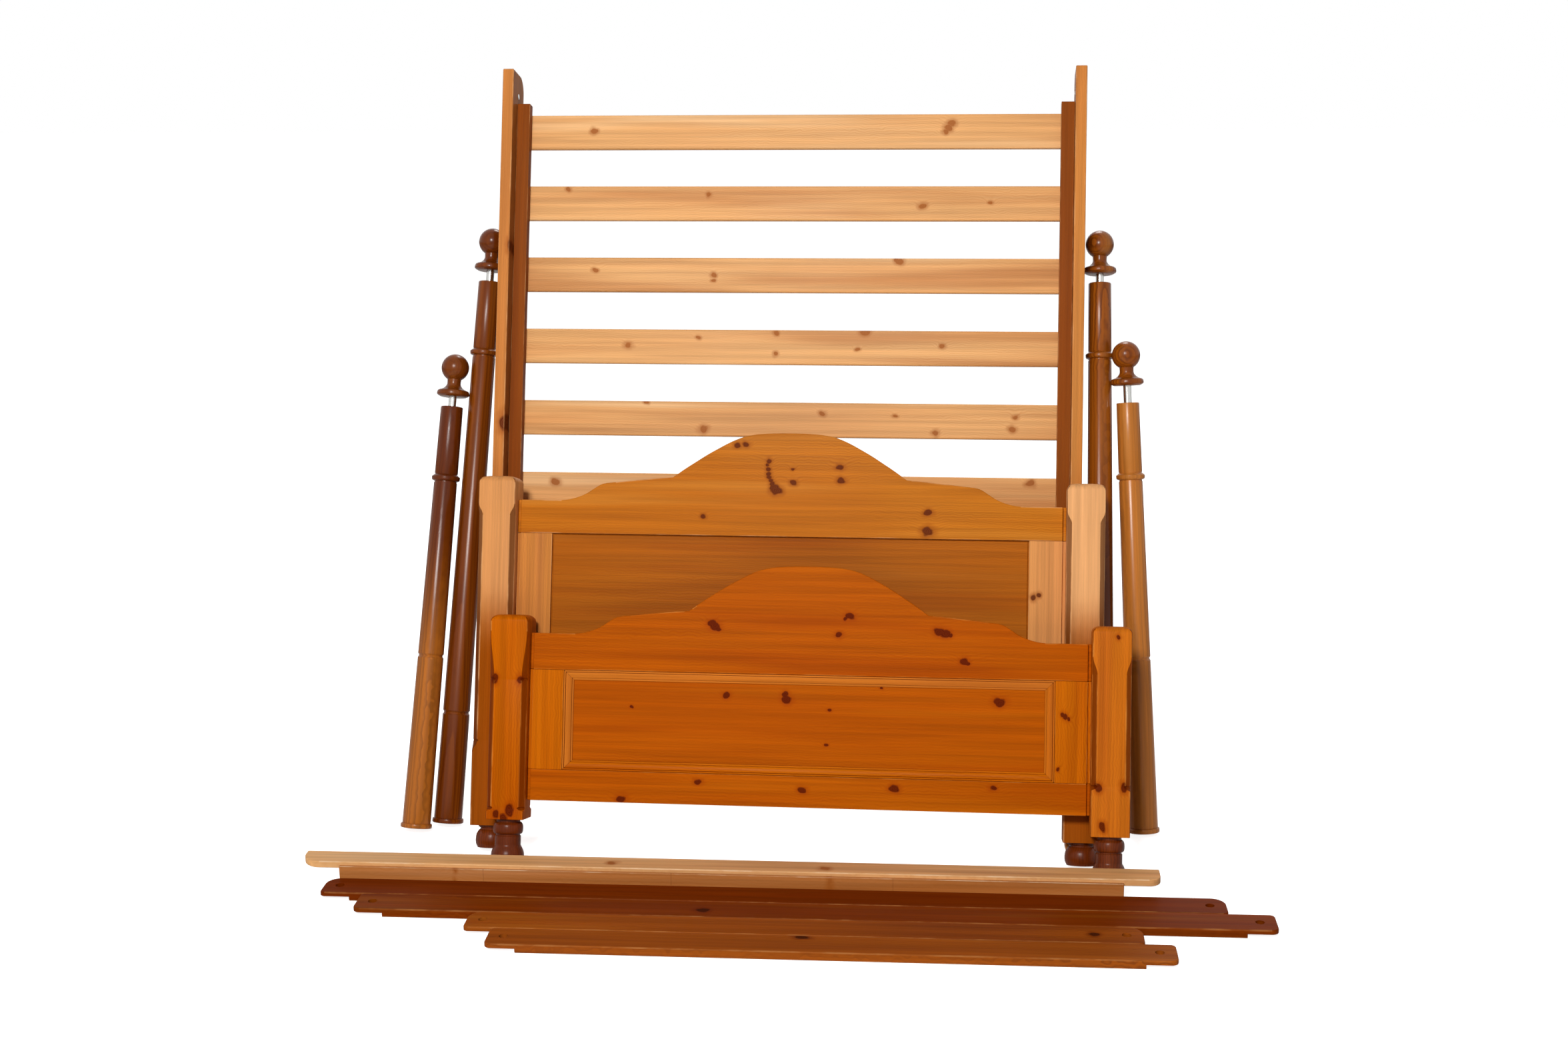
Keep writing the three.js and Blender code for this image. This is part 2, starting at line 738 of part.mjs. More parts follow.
// Everything that a post and its finial reach, with the finial seated and lifted out
function fullOutline(length, exposed) {
  const raised = (lift) => finialOutline().map(([r, z]) => [r, z + length + exposed + lift]);
  return [...upperOutline(length), ...raised(0), ...raised(FINIAL_LIFT)];
}

function radiusAt(outline, z) {
  let widest = 0;
  for (let i = 0; i + 1 < outline.length; i += 1) {
    const [r0, z0] = outline[i];
    const [r1, z1] = outline[i + 1];
    if (z >= Math.min(z0, z1) - 3 && z <= Math.max(z0, z1) + 3) {
      const t = THREE.MathUtils.clamp((z - z0) / (z1 - z0 || 1), 0, 1);
      widest = Math.max(widest, r0 + (r1 - r0) * t);
    }
  }
  return widest;
}

function placed(spec, topX) {
  const dir = axisOf(spec.foot, topX, spec.topY, spec.length);
  const tilt = Math.sqrt(1 - dir.z * dir.z);
  const start = new THREE.Vector3(spec.foot[0], spec.foot[1], (UPPER_RIM_R - 2) * tilt);
  return { dir, start, outline: fullOutline(spec.length, spec.exposed) };
}

// Clearance of a post from the outer face of a side rail
function railClearance(post, face, sign) {
  const reach = Math.sqrt(1 - post.dir.x * post.dir.x);
  const gaps = post.outline.map(([r, z]) => {
    const x = post.start.x + post.dir.x * z;
    return sign * (x - face) - r * reach;
  });
  return Math.min(...gaps);
}

// Clearance of a post from the post it leans on
function postClearance(post, other) {
  const gaps = post.outline.map(([r, z]) => {
    const point = post.dir.clone().multiplyScalar(z).add(post.start);
    const along = point.clone().sub(other.start).dot(other.dir);
    const nearest = other.dir.clone().multiplyScalar(along).add(other.start);
    return point.distanceTo(nearest) - r - radiusAt(other.outline, along);
  });
  return Math.min(...gaps);
}

// The lean across the bed at which the clearance closes to the gap
function settle(spec, clearance) {
  let clear = spec.foot[0];
  let hit = spec.foot[0] + spec.lean;
  for (let i = 0; i < 40; i += 1) {
    const mid = (clear + hit) / 2;
    if (clearance(placed(spec, mid)) > LEAN_GAP) clear = mid;
    else hit = mid;
  }
  return placed(spec, clear);
}

const faceLeft = BASE_SHIFT - BASE_W / 2;
const faceRight = BASE_SHIFT + BASE_W / 2;
const upper = {};
for (const [place, { out, back, topBack, lean, exposed }] of Object.entries(LOOSE)) {
  const footX = place.endsWith('left') ? faceLeft - out : faceRight + out;
  const length = place.startsWith('back') ? LONG_POST : SHORT_POST;
  upper[place] = { foot: [footX, back], topY: topBack, length, exposed, lean };
}
const stand = {};
stand.back_left = settle(upper.back_left, (p) => railClearance(p, faceLeft, -1));
stand.back_right = settle(upper.back_right, (p) => railClearance(p, faceRight, 1));
stand.front_left = settle(upper.front_left, (p) => postClearance(p, stand.back_left));
stand.front_right = settle(upper.front_right, (p) => postClearance(p, stand.back_right));

for (const [place, spec] of Object.entries(upper)) {
  const { dir, start } = stand[place];
  const post = new THREE.Group();
  post.position.copy(start);
  post.quaternion.setFromUnitVectors(new THREE.Vector3(0, 0, 1), dir);
  model.add(post);
  const boreR = PIN_R + HOLE_CLEARANCE;
  const boreFloor = spec.length - BORE_DEPTH;
  const shaft = turned([
    [0, 0],
    ...upperOutline(spec.length),
    [boreR, spec.length],
    [boreR, boreFloor],
    [0, boreFloor],
  ]);
  add(post, `upper_post_${place}`, shaft, 'walnutStain');
  const seat = spec.length + spec.exposed;
  const pin = rod(PIN_R, boreFloor + GAP, seat + PIN_SOCKET - GAP, ROUND_STEPS);
  add(post, `pin_${place}`, pin, 'steel');
  const finial = turned([
    [0, PIN_SOCKET],
    [PIN_R + GAP, PIN_SOCKET],
    [PIN_R + GAP, 0],
    ...finialOutline(),
  ]);
  add(post, `finial_${place}`, finial, 'walnutStain', [0, 0, seat]);
}

// Canopy rails lie flat in the pile, side by side, touching
const pile = new THREE.Group();
pile.position.x = PILE_LEFT;
pile.rotation.z = PILE_TURN;
model.add(pile);

function canopyRail(length, farRadius, nearRadius) {
  const outline = roundedRect(0, length, 0, CANOPY_W, [nearRadius, nearRadius, farRadius, farRadius]);
  const body = plate(outline, 0, CANOPY_T);
  const lapDepth = CANOPY_T / 2;
  const laps = [
    block(-1, LAP_L, -1, CANOPY_W + 1, -1, lapDepth),
    block(length - LAP_L, length + 1, -1, CANOPY_W + 1, -1, lapDepth),
  ];
  const holes = [LAP_HOLE_INSET, length - LAP_HOLE_INSET].map((x) => {
    const hole = rod(PIN_R + HOLE_CLEARANCE, -1, CANOPY_T + 1);
    return hole.translate(x, CANOPY_W / 2, 0);
  });
  return cut(body, [...laps, ...holes]);
}

const step = CANOPY_W + GAP;
const canopy = [
  ['canopy_rail_long_back', 0, 0, CANOPY_LONG, LAP_OUTER_R, LAP_INNER_R],
  ['canopy_rail_long_front', LONG_FRONT_SHIFT, 1, CANOPY_LONG, LAP_INNER_R, LAP_OUTER_R / 2],
  ['canopy_rail_short_back', SHORT_BACK_SHIFT, 2, CANOPY_SHORT, LAP_OUTER_R, LAP_INNER_R],
  ['canopy_rail_short_front', SHORT_FRONT_SHIFT, 3, CANOPY_SHORT, LAP_INNER_R, LAP_OUTER_R / 2],
];
for (const [name, x, row, length, farR, nearR] of canopy) {
  add(pile, name, canopyRail(length, farR, nearR), 'darkPine', [x, -row * step, 0]);
}

// Pale centre rail lies in the rebate of its batten, behind the canopy rails
const battenNear = CANOPY_W + GAP;
const centreNear = battenNear + BATTEN_LIP + GAP;
const centreX = CENTRE_START;
const battenX = centreX + BATTEN_INSET;
const rebate = BATTEN_H - BATTEN_LIP_H;
const battenOutline = [
  [0, 0],
  [BATTEN_W, 0],
  [BATTEN_W, rebate],
  [BATTEN_LIP, rebate],
  [BATTEN_LIP, BATTEN_H],
  [0, BATTEN_H],
];
const batten = beam(battenOutline, 0, BATTEN_L);
add(pile, 'centre_rail_batten', batten, 'palePine', [battenX, battenNear, 0]);
const centreOutline = roundedRect(0, CENTRE_L, 0, CENTRE_W, [CENTRE_LEFT_R, CENTRE_RIGHT_R, 4, 4]);
const centreRail = plate(centreOutline, 0, CENTRE_T);
add(pile, 'centre_rail', centreRail, 'palePine', [centreX, centreNear, rebate + GAP]);

// The part of a polygon on one side of a limit along one axis
function clipped(points, axis, limit, sign) {
  const kept = [];
  points.forEach((from, i) => {
    const to = points[(i + 1) % points.length];
    const out = sign * (from[axis] - limit);
    const next = sign * (to[axis] - limit);
    if (out <= 0) kept.push(from);
    if (out * next < 0) kept.push(from.clone().lerp(to, out / (out - next)));
  });
  return kept;
}

// Nearest depth, in a frame of its own, that a mesh reaches between two heights and up to an end
function nearestDepth(mesh, frame, low, high, end) {
  const corners = mesh.geometry.attributes.position;
  const index = mesh.geometry.index.array;
  const toFrame = frame.clone().multiply(mesh.matrixWorld);
  const at = (i) => new THREE.Vector3().fromBufferAttribute(corners, i).applyMatrix4(toFrame);
  let nearest = Infinity;
  for (let i = 0; i < index.length; i += 3) {
    let points = [at(index[i]), at(index[i + 1]), at(index[i + 2])];
    points = clipped(points, 'z', low, -1);
    points = clipped(points, 'z', high, 1);
    points = clipped(points, 'x', end, 1);
    nearest = Math.min(nearest, ...points.map((point) => point.y));
  }
  return nearest;
}

// The pile is pushed back until the centre rail touches the nearest foot that it reaches
model.updateMatrixWorld(true);
const pileInverse = pile.matrixWorld.clone().invert();
const centreLow = rebate + GAP;
const centreEnd = centreX + CENTRE_L + GAP;
const nearestFoot = Math.min(...['left', 'right'].map((side) => {
  const mesh = foot.getObjectByName(`foot_foot_${side}`);
  return nearestDepth(mesh, pileInverse, centreLow, centreLow + CENTRE_T, centreEnd);
}));
const pushed = new THREE.Vector3(0, nearestFoot - GAP - centreNear - CENTRE_W, 0);
pile.position.add(pushed.applyEuler(pile.rotation));

// The origin is the middle of the part's footprint, on the floor
part.updateMatrixWorld(true);
const bounds = new THREE.Box3().setFromObject(part, true);
const middle = bounds.getCenter(new THREE.Vector3());
model.position.set(-middle.x, -middle.y, -bounds.min.z);
part.updateMatrixWorld(true);

export default part;
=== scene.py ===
import json
import math

import bmesh
import bpy
from mathutils import Matrix, Vector


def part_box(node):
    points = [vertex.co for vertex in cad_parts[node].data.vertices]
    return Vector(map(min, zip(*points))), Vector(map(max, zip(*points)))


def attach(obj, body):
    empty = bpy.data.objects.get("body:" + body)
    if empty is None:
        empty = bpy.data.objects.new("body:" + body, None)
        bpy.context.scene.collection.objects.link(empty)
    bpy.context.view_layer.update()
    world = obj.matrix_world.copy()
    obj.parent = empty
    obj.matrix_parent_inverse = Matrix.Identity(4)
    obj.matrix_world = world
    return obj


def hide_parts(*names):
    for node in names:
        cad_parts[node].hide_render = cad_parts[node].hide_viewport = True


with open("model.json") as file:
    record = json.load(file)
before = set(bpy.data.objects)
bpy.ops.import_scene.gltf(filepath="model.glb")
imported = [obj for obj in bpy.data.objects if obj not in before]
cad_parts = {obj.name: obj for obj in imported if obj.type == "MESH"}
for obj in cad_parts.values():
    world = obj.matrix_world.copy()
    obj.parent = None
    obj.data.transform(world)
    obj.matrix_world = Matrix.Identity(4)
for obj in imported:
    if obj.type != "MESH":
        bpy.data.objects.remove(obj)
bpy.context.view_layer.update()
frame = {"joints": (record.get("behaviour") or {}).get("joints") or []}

# Sizes are in millimetres and become metres in the meshes
MM = 0.001
GAP = 0.3
LEAN = math.radians(16.64)
BODY = "bed_kit"

# Slatted base
BASE_W = 1470
RAIL_L = 1929
RAIL_H = 120
RAIL_T = 28
RAIL_CORNER_R = 42
RAIL_INNER = BASE_W / 2 - RAIL_T
LEDGER_W = 33
LEDGER_H = 30
LEDGER_FROM_EDGE = 50
LEDGER_TOP_OVERRUN = 23
LEDGER_BOTTOM_OVERRUN = 4
SLAT_COUNT = 10
SLAT_W = 88
SLAT_T = 18
SLAT_EDGE_R = 4
SLAT_PITCH = 183.5
SLAT_FIRST = 101
SLAT_NEAR = LEDGER_FROM_EDGE + LEDGER_H + GAP
BARREL_R = 7
BARREL_L = 20
BARREL_FROM_END = 58
BARREL_PROUD = 1.2
BARREL_EDGE = 0.8
DIMPLE_R = 2.5
DIMPLE_H = 1

# Square lower posts
POST_W = 92
POST_CENTRES = BASE_W - RAIL_T
ARRIS = 1.5
CHAMFER = 12
EDGE_ROUND = 2.2
NICK = 4
NICK_L = 7
DOME_H = 16
DOME_ARC = math.pi / 2 * 0.96
POST_STEPS = 12

# How the chamfers of each post stop: top block, tongue and nick, then low block, tongue and nick
HEAD_STOPS = (70, 28, False, 180, 24, True)
FOOT_LEFT_STOPS = (40, 112, True, 20, 4, True)
FOOT_RIGHT_STOPS = (72, 42, False, 108, 6, True)
STOPS = {
    "head": {"left": HEAD_STOPS, "right": HEAD_STOPS},
    "foot": {"left": FOOT_LEFT_STOPS, "right": FOOT_RIGHT_STOPS},
}

# Boards
FRAME_T = 30
FRAME_RECESS = 29
FRAME_NEAR = -POST_W + FRAME_RECESS
FRAME_FAR = FRAME_NEAR + FRAME_T
FRAME_MID = (FRAME_NEAR + FRAME_FAR) / 2
GROOVE_W = 10
GROOVE_D = 8
BOARD_GAP = 9
FIELD_RECESS = 10
PANEL_BACK_RECESS = 6
PANEL_INSET = 3
# Section of the planted moulding: in from the frame, and back from the frame's near face
MOULD = [
    (0.3, 1.8), (1.1, 1), (4.2, 1), (5, 1.8), (5.6, 2.8), (8, 2.7), (11, 3.1), (14.5, 4), (17.4, 5.2),
    (19, 6.2), (19.6, 8.4), (23.4, 8.6), (24, 9.2),
]
BOARDS = {
    "head": {
        "foot_h": 56, "top": 916, "baseline": 859, "top_rail": 82, "stile": 80,
        "bottom_rail": 90, "bottom": 270, "recess": 6, "finish": "honeyPine",
    },
    "foot": {
        "foot_h": 108, "top": 601, "baseline": 558, "top_rail": 88, "stile": 76,
        "bottom_rail": 75, "bottom": 154, "recess": FIELD_RECESS, "finish": "amberPine",
    },
}
ARCH = [
    (565, 0), (545, 2.5), (522, 9), (502, 18), (482, 31), (462, 42), (430, 46.5), (380, 52),
    (330, 57), (288, 60), (259, 81), (230, 100), (202, 118), (174, 134), (146, 149), (117, 161),
    (88, 167.5), (58, 170.5), (29, 171.8), (0, 172),
]

# Turned feet
FOOT_PAD_R = 35
FOOT_BULB_R = 40
FOOT_BEAD_R = 36.5
FOOT_NECK_R = 29
FOOT_NECK_H = 10
FOOT_BEAD_H = 28
FOOT_COVE_H = 4

# Upper posts, pins and finials
SHORT_POST = 1072
LONG_POST = SHORT_POST + BOARDS["head"]["top"] - BOARDS["foot"]["top"]
UPPER = {
    "back_left": (LONG_POST, 29),
    "back_right": (LONG_POST, 23),
    "front_left": (SHORT_POST, 26),
    "front_right": (SHORT_POST, 43),
}
UPPER_TOP_R = 28
UPPER_BOTTOM_R = 35.5
UPPER_RIM_R = 39
UPPER_RIM_H = 12
UPPER_RING_R = 35.5
UPPER_RING_H = 22
UPPER_RING_DROP = 182
SHORT_GROOVE_RISE = 435
LONG_GROOVE_RISE = 280
BORE_DEPTH = 28
PIN_R = 10
PIN_SOCKET = 26
HOLE_CLEARANCE = 0.5
FLANGE_R = 41
FLANGE_H = 20
FINIAL_NECK_R = 17.5
BALL_R = 35
BALL_RISE = 75

# Pile of canopy rails, centre rail and batten
PILE_TURN = math.radians(1.3)
CANOPY_W = 85
CANOPY_T = 21
LAP_L = 70
LAP_HOLE_INSET = 38
CANOPY_LONG = RAIL_L + POST_W + 2 * LAP_HOLE_INSET
CANOPY_SHORT = POST_CENTRES + 2 * LAP_HOLE_INSET
CANOPY = [
    ("canopy_rail_long_back", 0, 0, CANOPY_LONG, 34, 12),
    ("canopy_rail_long_front", 101, 1, CANOPY_LONG, 12, 17),
    ("canopy_rail_short_back", 378, 2, CANOPY_SHORT, 34, 12),
    ("canopy_rail_short_front", 443, 3, CANOPY_SHORT, 12, 17),
]
CENTRE_L = 2025
CENTRE_W = 64
CENTRE_T = 17
CENTRE_LEFT_R = 45
CENTRE_RIGHT_R = 28
CENTRE_START = -71
BATTEN_W = 40
BATTEN_H = 50
BATTEN_L = 1844
BATTEN_INSET = 95
BATTEN_LIP = 8
BATTEN_LIP_H = 9
BATTEN_JOINTS = [347, 793, 1312]
SAW_W = 0.9
SAW_DEEP = 1.5

LATHE_STEPS = 72
# How far a cutter reaches past what it cuts
CUT_OVER = 5

# Knots of single pieces, in millimetres: across, up and radius, in the frame of the board or base
KNOTS = {
    "head_top_rail": [
        (-53, 962, 5), (-55, 952, 4), (-53, 942, 5), (-52, 932, 5), (-50, 923, 5), (-46, 914, 5),
        (-41, 905, 6), (-36, 897, 7), (-30, 889, 9), (11, 910, 6),
        (8, 943, 4), (125, 949, 7), (126, 916, 7), (340, 840, 7), (341, 795, 10), (-210, 823, 5),
        (-128, 1000, 6), (-108, 1003, 6),
    ],
    "foot_top_rail": [
        (-232, 590, 8), (-224, 582, 9), (-216, 576, 5), (100, 613, 8), (90, 606, 4), (75, 568, 7),
        (314, 580, 9), (328, 576, 9), (340, 573, 4), (373, 510, 8), (382, 506, 4),
    ],
    "foot_panel": [
        (-195, 418, 7), (-52, 422, 7), (-48, 411, 9), (453, 419, 8), (461, 415, 10), (55, 387, 4),
        (49, 304, 4), (-426, 384, 3.5),
        (-196, 459, 3.5), (-56, 458, 3.5), (176, 463, 3), (176, 443, 3), (446, 453, 3.5),
    ],
    "foot_bottom_rail": [(-256, 209, 7), (-6, 196, 8), (214, 206, 8), (447, 212, 6), (-443, 163, 9)],
    "foot_stile_right": [(606, 392, 5), (613, 386, 6), (622, 380, 4), (600, 262, 3.5)],
    "head_stile_right": [(598, 640, 6), (610, 645, 5)],
    "foot_post_left": [(-754, 446, 9), (-692, 445, 8), (-708, 130, 10), (-742, 121, 8), (-722, 112, 9)],
    "foot_post_right": [(692, 222, 8), (752, 225, 8), (702, 132, 8), (733, 576, 5)],
    "canopy_rail_short_back": [(1788, -128, 9)],
    "canopy_rail_long_front": [(905, -50, 10)],
    "centre_rail": [(672, 124, 8), (1176, 118, 9)],
    "centre_rail_batten": [(1190, 92, 6), (300, 90, 4)],
}
# Knots of the slats: across, above the slat's middle and radius
SLAT_KNOTS = [
    [(-511, 3, 6), (401, 19, 7), (393, 8, 7), (385, -2, 5)],
    [(-575, 34, 5), (-213, 20, 5), (331, -8, 7), (503, 3, 4)],
    [(-499, 11, 5), (-194, 0, 5), (-194, -14, 4), (268, 40, 5), (276, 34, 7)],
    [(-410, 2, 7), (-230, 21, 4), (-35, 36, 5), (192, 39, 7), (-34, -18, 5), (173, -4, 4), (387, 6, 5)],
    [(-361, 41, 4), (-212, -26, 8), (89, 17, 6), (270, 12, 4), (372, -32, 6), (570, 12, 5), (565, -19, 6)],
    [(-590, 20, 8), (-120, -10, 6), (610, 30, 7)],
    [(-300, 12, 7), (240, -20, 6)],
    [(-90, 22, 6), (450, 4, 8)],
    [(-480, -14, 7), (160, 30, 5)],
    [(-20, -24, 7), (360, 16, 6)],
]

# Pieces painted paler, and those painted deeper in colour: partly their own tone, partly painted light. The
# paleness of the head posts, head stiles, side rails, front loose posts and the top and sides of the foot
# moulding is painted highlight and reflection where light falls on them; the depth of the ledgers is
# painted shade where they lie between rail and slats.
PALE_TONE_AND_HIGHLIGHT = {
    "head_post_left": 0.5, "head_post_right": 0.85, "head_stile_left": 0.2, "head_stile_right": 0.42,
    "foot_post_right": 0.15, "foot_moulding_top": 0.35, "foot_moulding_left": 0.3,
    "foot_moulding_right": 0.15, "upper_post_front_right": 0.35, "upper_post_front_left": 0.2,
    "centre_rail": 0.05, "canopy_rail_short_back": 0.1, "canopy_rail_short_front": 0.12,
    "side_rail_left": 0.22, "side_rail_right": 0.2,
}
DEEP_TONE_AND_SHADE = {
    "head_panel": 0.5, "head_bottom_rail": 0.4, "foot_panel": 0.45, "foot_top_rail": 0.45,
    "foot_bottom_rail": 0.35, "foot_post_left": 0.25, "ledger_left": 0.75, "ledger_right": 0.75,
    "canopy_rail_long_back": 0.75, "canopy_rail_long_front": 0.5, "centre_rail_batten": 0.72,
    "upper_post_back_left": 0.55, "upper_post_back_right": 0.3, "finial_back_left": 0.7,
    "finial_front_left": 0.7, "finial_back_right": 0.4, "finial_front_right": 0.3,
}
# Heights in metres between which a piece goes from its own tone to the deep one: painted shade on the lower
# part of the head posts, under the foot board, and on the top of the front left loose post, whose paler
# lower part is painted highlight; the back right loose post goes darker towards the bottom.
FADES = {
    "head_post_left": (0.66, 0.46), "head_post_right": (0.66, 0.46), "upper_post_front_left": (0.4, 0.8),
    "upper_post_back_right": (0.9, 0.6),
}
NO_FADE = (10.0, 20.0)


# Colours are written in sRGB and used in linear light
def srgb(r, g, b):
    def channel(c):
        c = c / 255
        return c / 12.92 if c <= 0.04045 else ((c + 0.055) / 1.055) ** 2.4

    return (channel(r), channel(g), channel(b), 1.0)


class Nodes:
    """Small helper that adds shader nodes and links what is passed to their inputs."""

    def __init__(self, material):
        material.use_nodes = True
        self.tree = material.node_tree
        self.tree.nodes.clear()

    def put(self, socket, value):
        if isinstance(value, bpy.types.NodeSocket):
            self.tree.links.new(value, socket)
        else:
            socket.default_value = value

    def add(self, kind, inputs=None, **settings):
        node = self.tree.nodes.new(kind)
        for key, value in settings.items():
            setattr(node, key, value)
        for key, value in (inputs or {}).items():
            self.put(node.inputs[key], value)
        return node

    def attribute(self, name, kind="GEOMETRY", output="Fac"):
        node = self.add("ShaderNodeAttribute", attribute_type=kind, attribute_name=name)
        return node.outputs[output]

    def math(self, operation, a, b=0.0, c=0.0):
        inputs = {0: a, 1: b, 2: c}
        return self.add("ShaderNodeMath", inputs, operation=operation).outputs[0]

    def vector(self, operation, a, b):
        return self.add("ShaderNodeVectorMath", {0: a, 1: b}, operation=operation).outputs[0]

    def noise(self, vector, scale, detail=2.0, roughness=0.5):
        point = self.vector("MULTIPLY", vector, scale)
        inputs = {"Vector": point, "Scale": 1.0, "Detail": detail, "Roughness": roughness}
        return self.add("ShaderNodeTexNoise", inputs)

    def step(self, value, low, high, to_low=0.0, to_high=1.0):
        inputs = {"Value": value, "From Min": low, "From Max": high, "To Min": to_low, "To Max": to_high}
        node = self.add("ShaderNodeMapRange", inputs, interpolation_type="SMOOTHSTEP")
        return node.outputs["Result"]

    def mix(self, factor, a, b, blend="MIX"):
        node = self.add("ShaderNodeMix", data_type="RGBA", blend_type=blend)
        colors = [s for s in node.inputs if s.type == "RGBA"]
        for socket, value in [(node.inputs[0], factor), (colors[0], a), (colors[1], b)]:
            self.put(socket, value)
        return next(s for s in node.outputs if s.type == "RGBA")


# Knots: a share that no chance reaches, a distance that hides one, and how far one runs along the grain
NO_CHANCE_KNOTS = 2.0
FAR_AWAY = 50.0
KNOT_SQUASH = 0.75

# Looks of the varnished pine: colours, among them one for painted shade and one for worn varnish and
# painted highlight, growth ring width in metres, gloss
WOODS = {
    "palePine": {
        "light": srgb(224, 168, 108), "dark": srgb(196, 126, 62), "warm": srgb(216, 152, 92),
        "knot": srgb(158, 88, 34), "pale": srgb(242, 206, 158), "deep": srgb(160, 86, 26),
        "wear_and_highlight": srgb(244, 216, 180), "painted_shade": srgb(120, 60, 16),
        "ring": 0.0052, "contrast": 0.45, "rough": 0.34, "gloss": 0.06, "knots": 0.7,
    },
    "honeyPine": {
        "light": srgb(192, 112, 22), "dark": srgb(154, 76, 8), "warm": srgb(178, 94, 10),
        "knot": srgb(84, 26, 4), "pale": srgb(206, 132, 46), "deep": srgb(142, 64, 3),
        "wear_and_highlight": srgb(232, 172, 116), "painted_shade": srgb(92, 40, 6),
        "ring": 0.0058, "contrast": 0.5, "rough": 0.34, "gloss": 0.03, "knots": 0.9,
    },
    "amberPine": {
        "light": srgb(194, 100, 3), "dark": srgb(154, 64, 0), "warm": srgb(182, 84, 0),
        "knot": srgb(78, 12, 0), "pale": srgb(206, 116, 8), "deep": srgb(156, 60, 0),
        "wear_and_highlight": srgb(222, 142, 62), "painted_shade": srgb(96, 30, 0),
        "ring": 0.006, "contrast": 0.5, "rough": 0.34, "gloss": 0.02, "knots": 0.95,
    },
    "darkPine": {
        "light": srgb(154, 72, 2), "dark": srgb(92, 32, 0), "warm": srgb(122, 49, 0),
        "knot": srgb(48, 12, 0), "pale": srgb(184, 108, 28), "deep": srgb(96, 28, 0),
        "wear_and_highlight": srgb(180, 120, 66), "painted_shade": srgb(50, 18, 2),
        "ring": 0.0055, "contrast": 0.6, "rough": 0.4, "gloss": 0.03, "knots": 0.72,
    },
    "walnutStain": {
        "light": srgb(168, 90, 18), "dark": srgb(82, 32, 3), "warm": srgb(128, 58, 5),
        "knot": srgb(52, 16, 2), "pale": srgb(214, 142, 66), "deep": srgb(84, 30, 3),
        "wear_and_highlight": srgb(214, 142, 66), "painted_shade": srgb(50, 18, 2),
        "ring": 0.0062, "contrast": 0.8, "rough": 0.22, "gloss": 0.2, "knots": 1.1,
    },
    "darkFoot": {
        "light": srgb(112, 46, 10), "dark": srgb(62, 22, 4), "warm": srgb(84, 30, 5),
        "knot": srgb(34, 10, 2), "pale": srgb(128, 66, 26), "deep": srgb(48, 16, 2),
        "wear_and_highlight": srgb(140, 80, 40), "painted_shade": srgb(36, 12, 2),
        "ring": 0.006, "contrast": 0.6, "rough": 0.26, "gloss": 0.14, "knots": 1.1,
    },
}


def nearest_knot(n, x, z, seed, look, knots):
    """How many knot radii away the nearest knot lies: a given one, or else one scattered by chance."""
    cells = n.add("ShaderNodeCombineXYZ", {
        "X": n.math("MULTIPLY_ADD", x, 7.0, n.math("MULTIPLY", seed, 3.7)),
        "Y": n.math("MULTIPLY_ADD", z, 4.0, n.math("MULTIPLY", seed, 9.1)),
    }).outputs[0]
    scatter = n.add("ShaderNodeTexVoronoi", {"Vector": cells, "Scale": 1.0}, voronoi_dimensions="2D")
    chosen = n.add("ShaderNodeSeparateColor", {0: scatter.outputs["Color"]})
    allowed = n.math("GREATER_THAN", chosen.outputs[0], NO_CHANCE_KNOTS if knots else look["knots"])
    size = n.math("MULTIPLY_ADD", chosen.outputs[1], 0.05, 0.035)
    apart = n.math("DIVIDE", scatter.outputs["Distance"], size)
    missing = n.math("MULTIPLY", n.math("SUBTRACT", 1.0, allowed), FAR_AWAY)
    nearest = n.math("ADD", apart, missing)
    for kx, kz, radius in knots:
        across = n.math("MULTIPLY", n.math("SUBTRACT", x, kx), 1 / radius)
        along = n.math("MULTIPLY", n.math("SUBTRACT", z, kz), KNOT_SQUASH / radius)
        squares = [n.math("MULTIPLY", part, part) for part in (across, along)]
        nearest = n.math("MINIMUM", nearest, n.math("SQRT", n.math("ADD", *squares)))
    return nearest


def growth_rings(n, x, y, own, seed, bulge, ring_width):
    """The dark late wood of rings about a heart that lies outside the piece."""
    bend = n.noise(own, (2.6, 2.6, 0.8), 2.0).outputs["Color"]
    shift = n.add("ShaderNodeSeparateXYZ", {0: n.vector("SUBTRACT", bend, (0.5, 0.5, 0.5))}).outputs
    heart_x = n.math("MULTIPLY", n.math("SINE", n.math("MULTIPLY", seed, 12.9)), 0.05)
    heart_y = n.math("MULTIPLY_ADD", n.math("SINE", n.math("MULTIPLY", seed, 7.3)), 0.03, 0.075)
    off_x = n.math("SUBTRACT", n.math("MULTIPLY_ADD", shift[0], 0.05, x), heart_x)
    off_y = n.math("SUBTRACT", n.math("MULTIPLY_ADD", shift[1], 0.05, y), heart_y)
    squared = n.math("ADD", n.math("MULTIPLY", off_x, off_x), n.math("MULTIPLY", off_y, off_y))
    stray = n.noise(own, (24, 24, 1.1), 2.0).outputs["Fac"]
    distance = n.math("MULTIPLY_ADD", bulge, 0.012, n.math("SQRT", squared))
    distance = n.math("MULTIPLY_ADD", stray, 0.014, distance)
    ring = n.math("FRACT", n.math("MULTIPLY", distance, 1 / ring_width))
    return n.math("MULTIPLY", n.step(ring, 0.3, 0.88), n.step(ring, 1.0, 0.9))


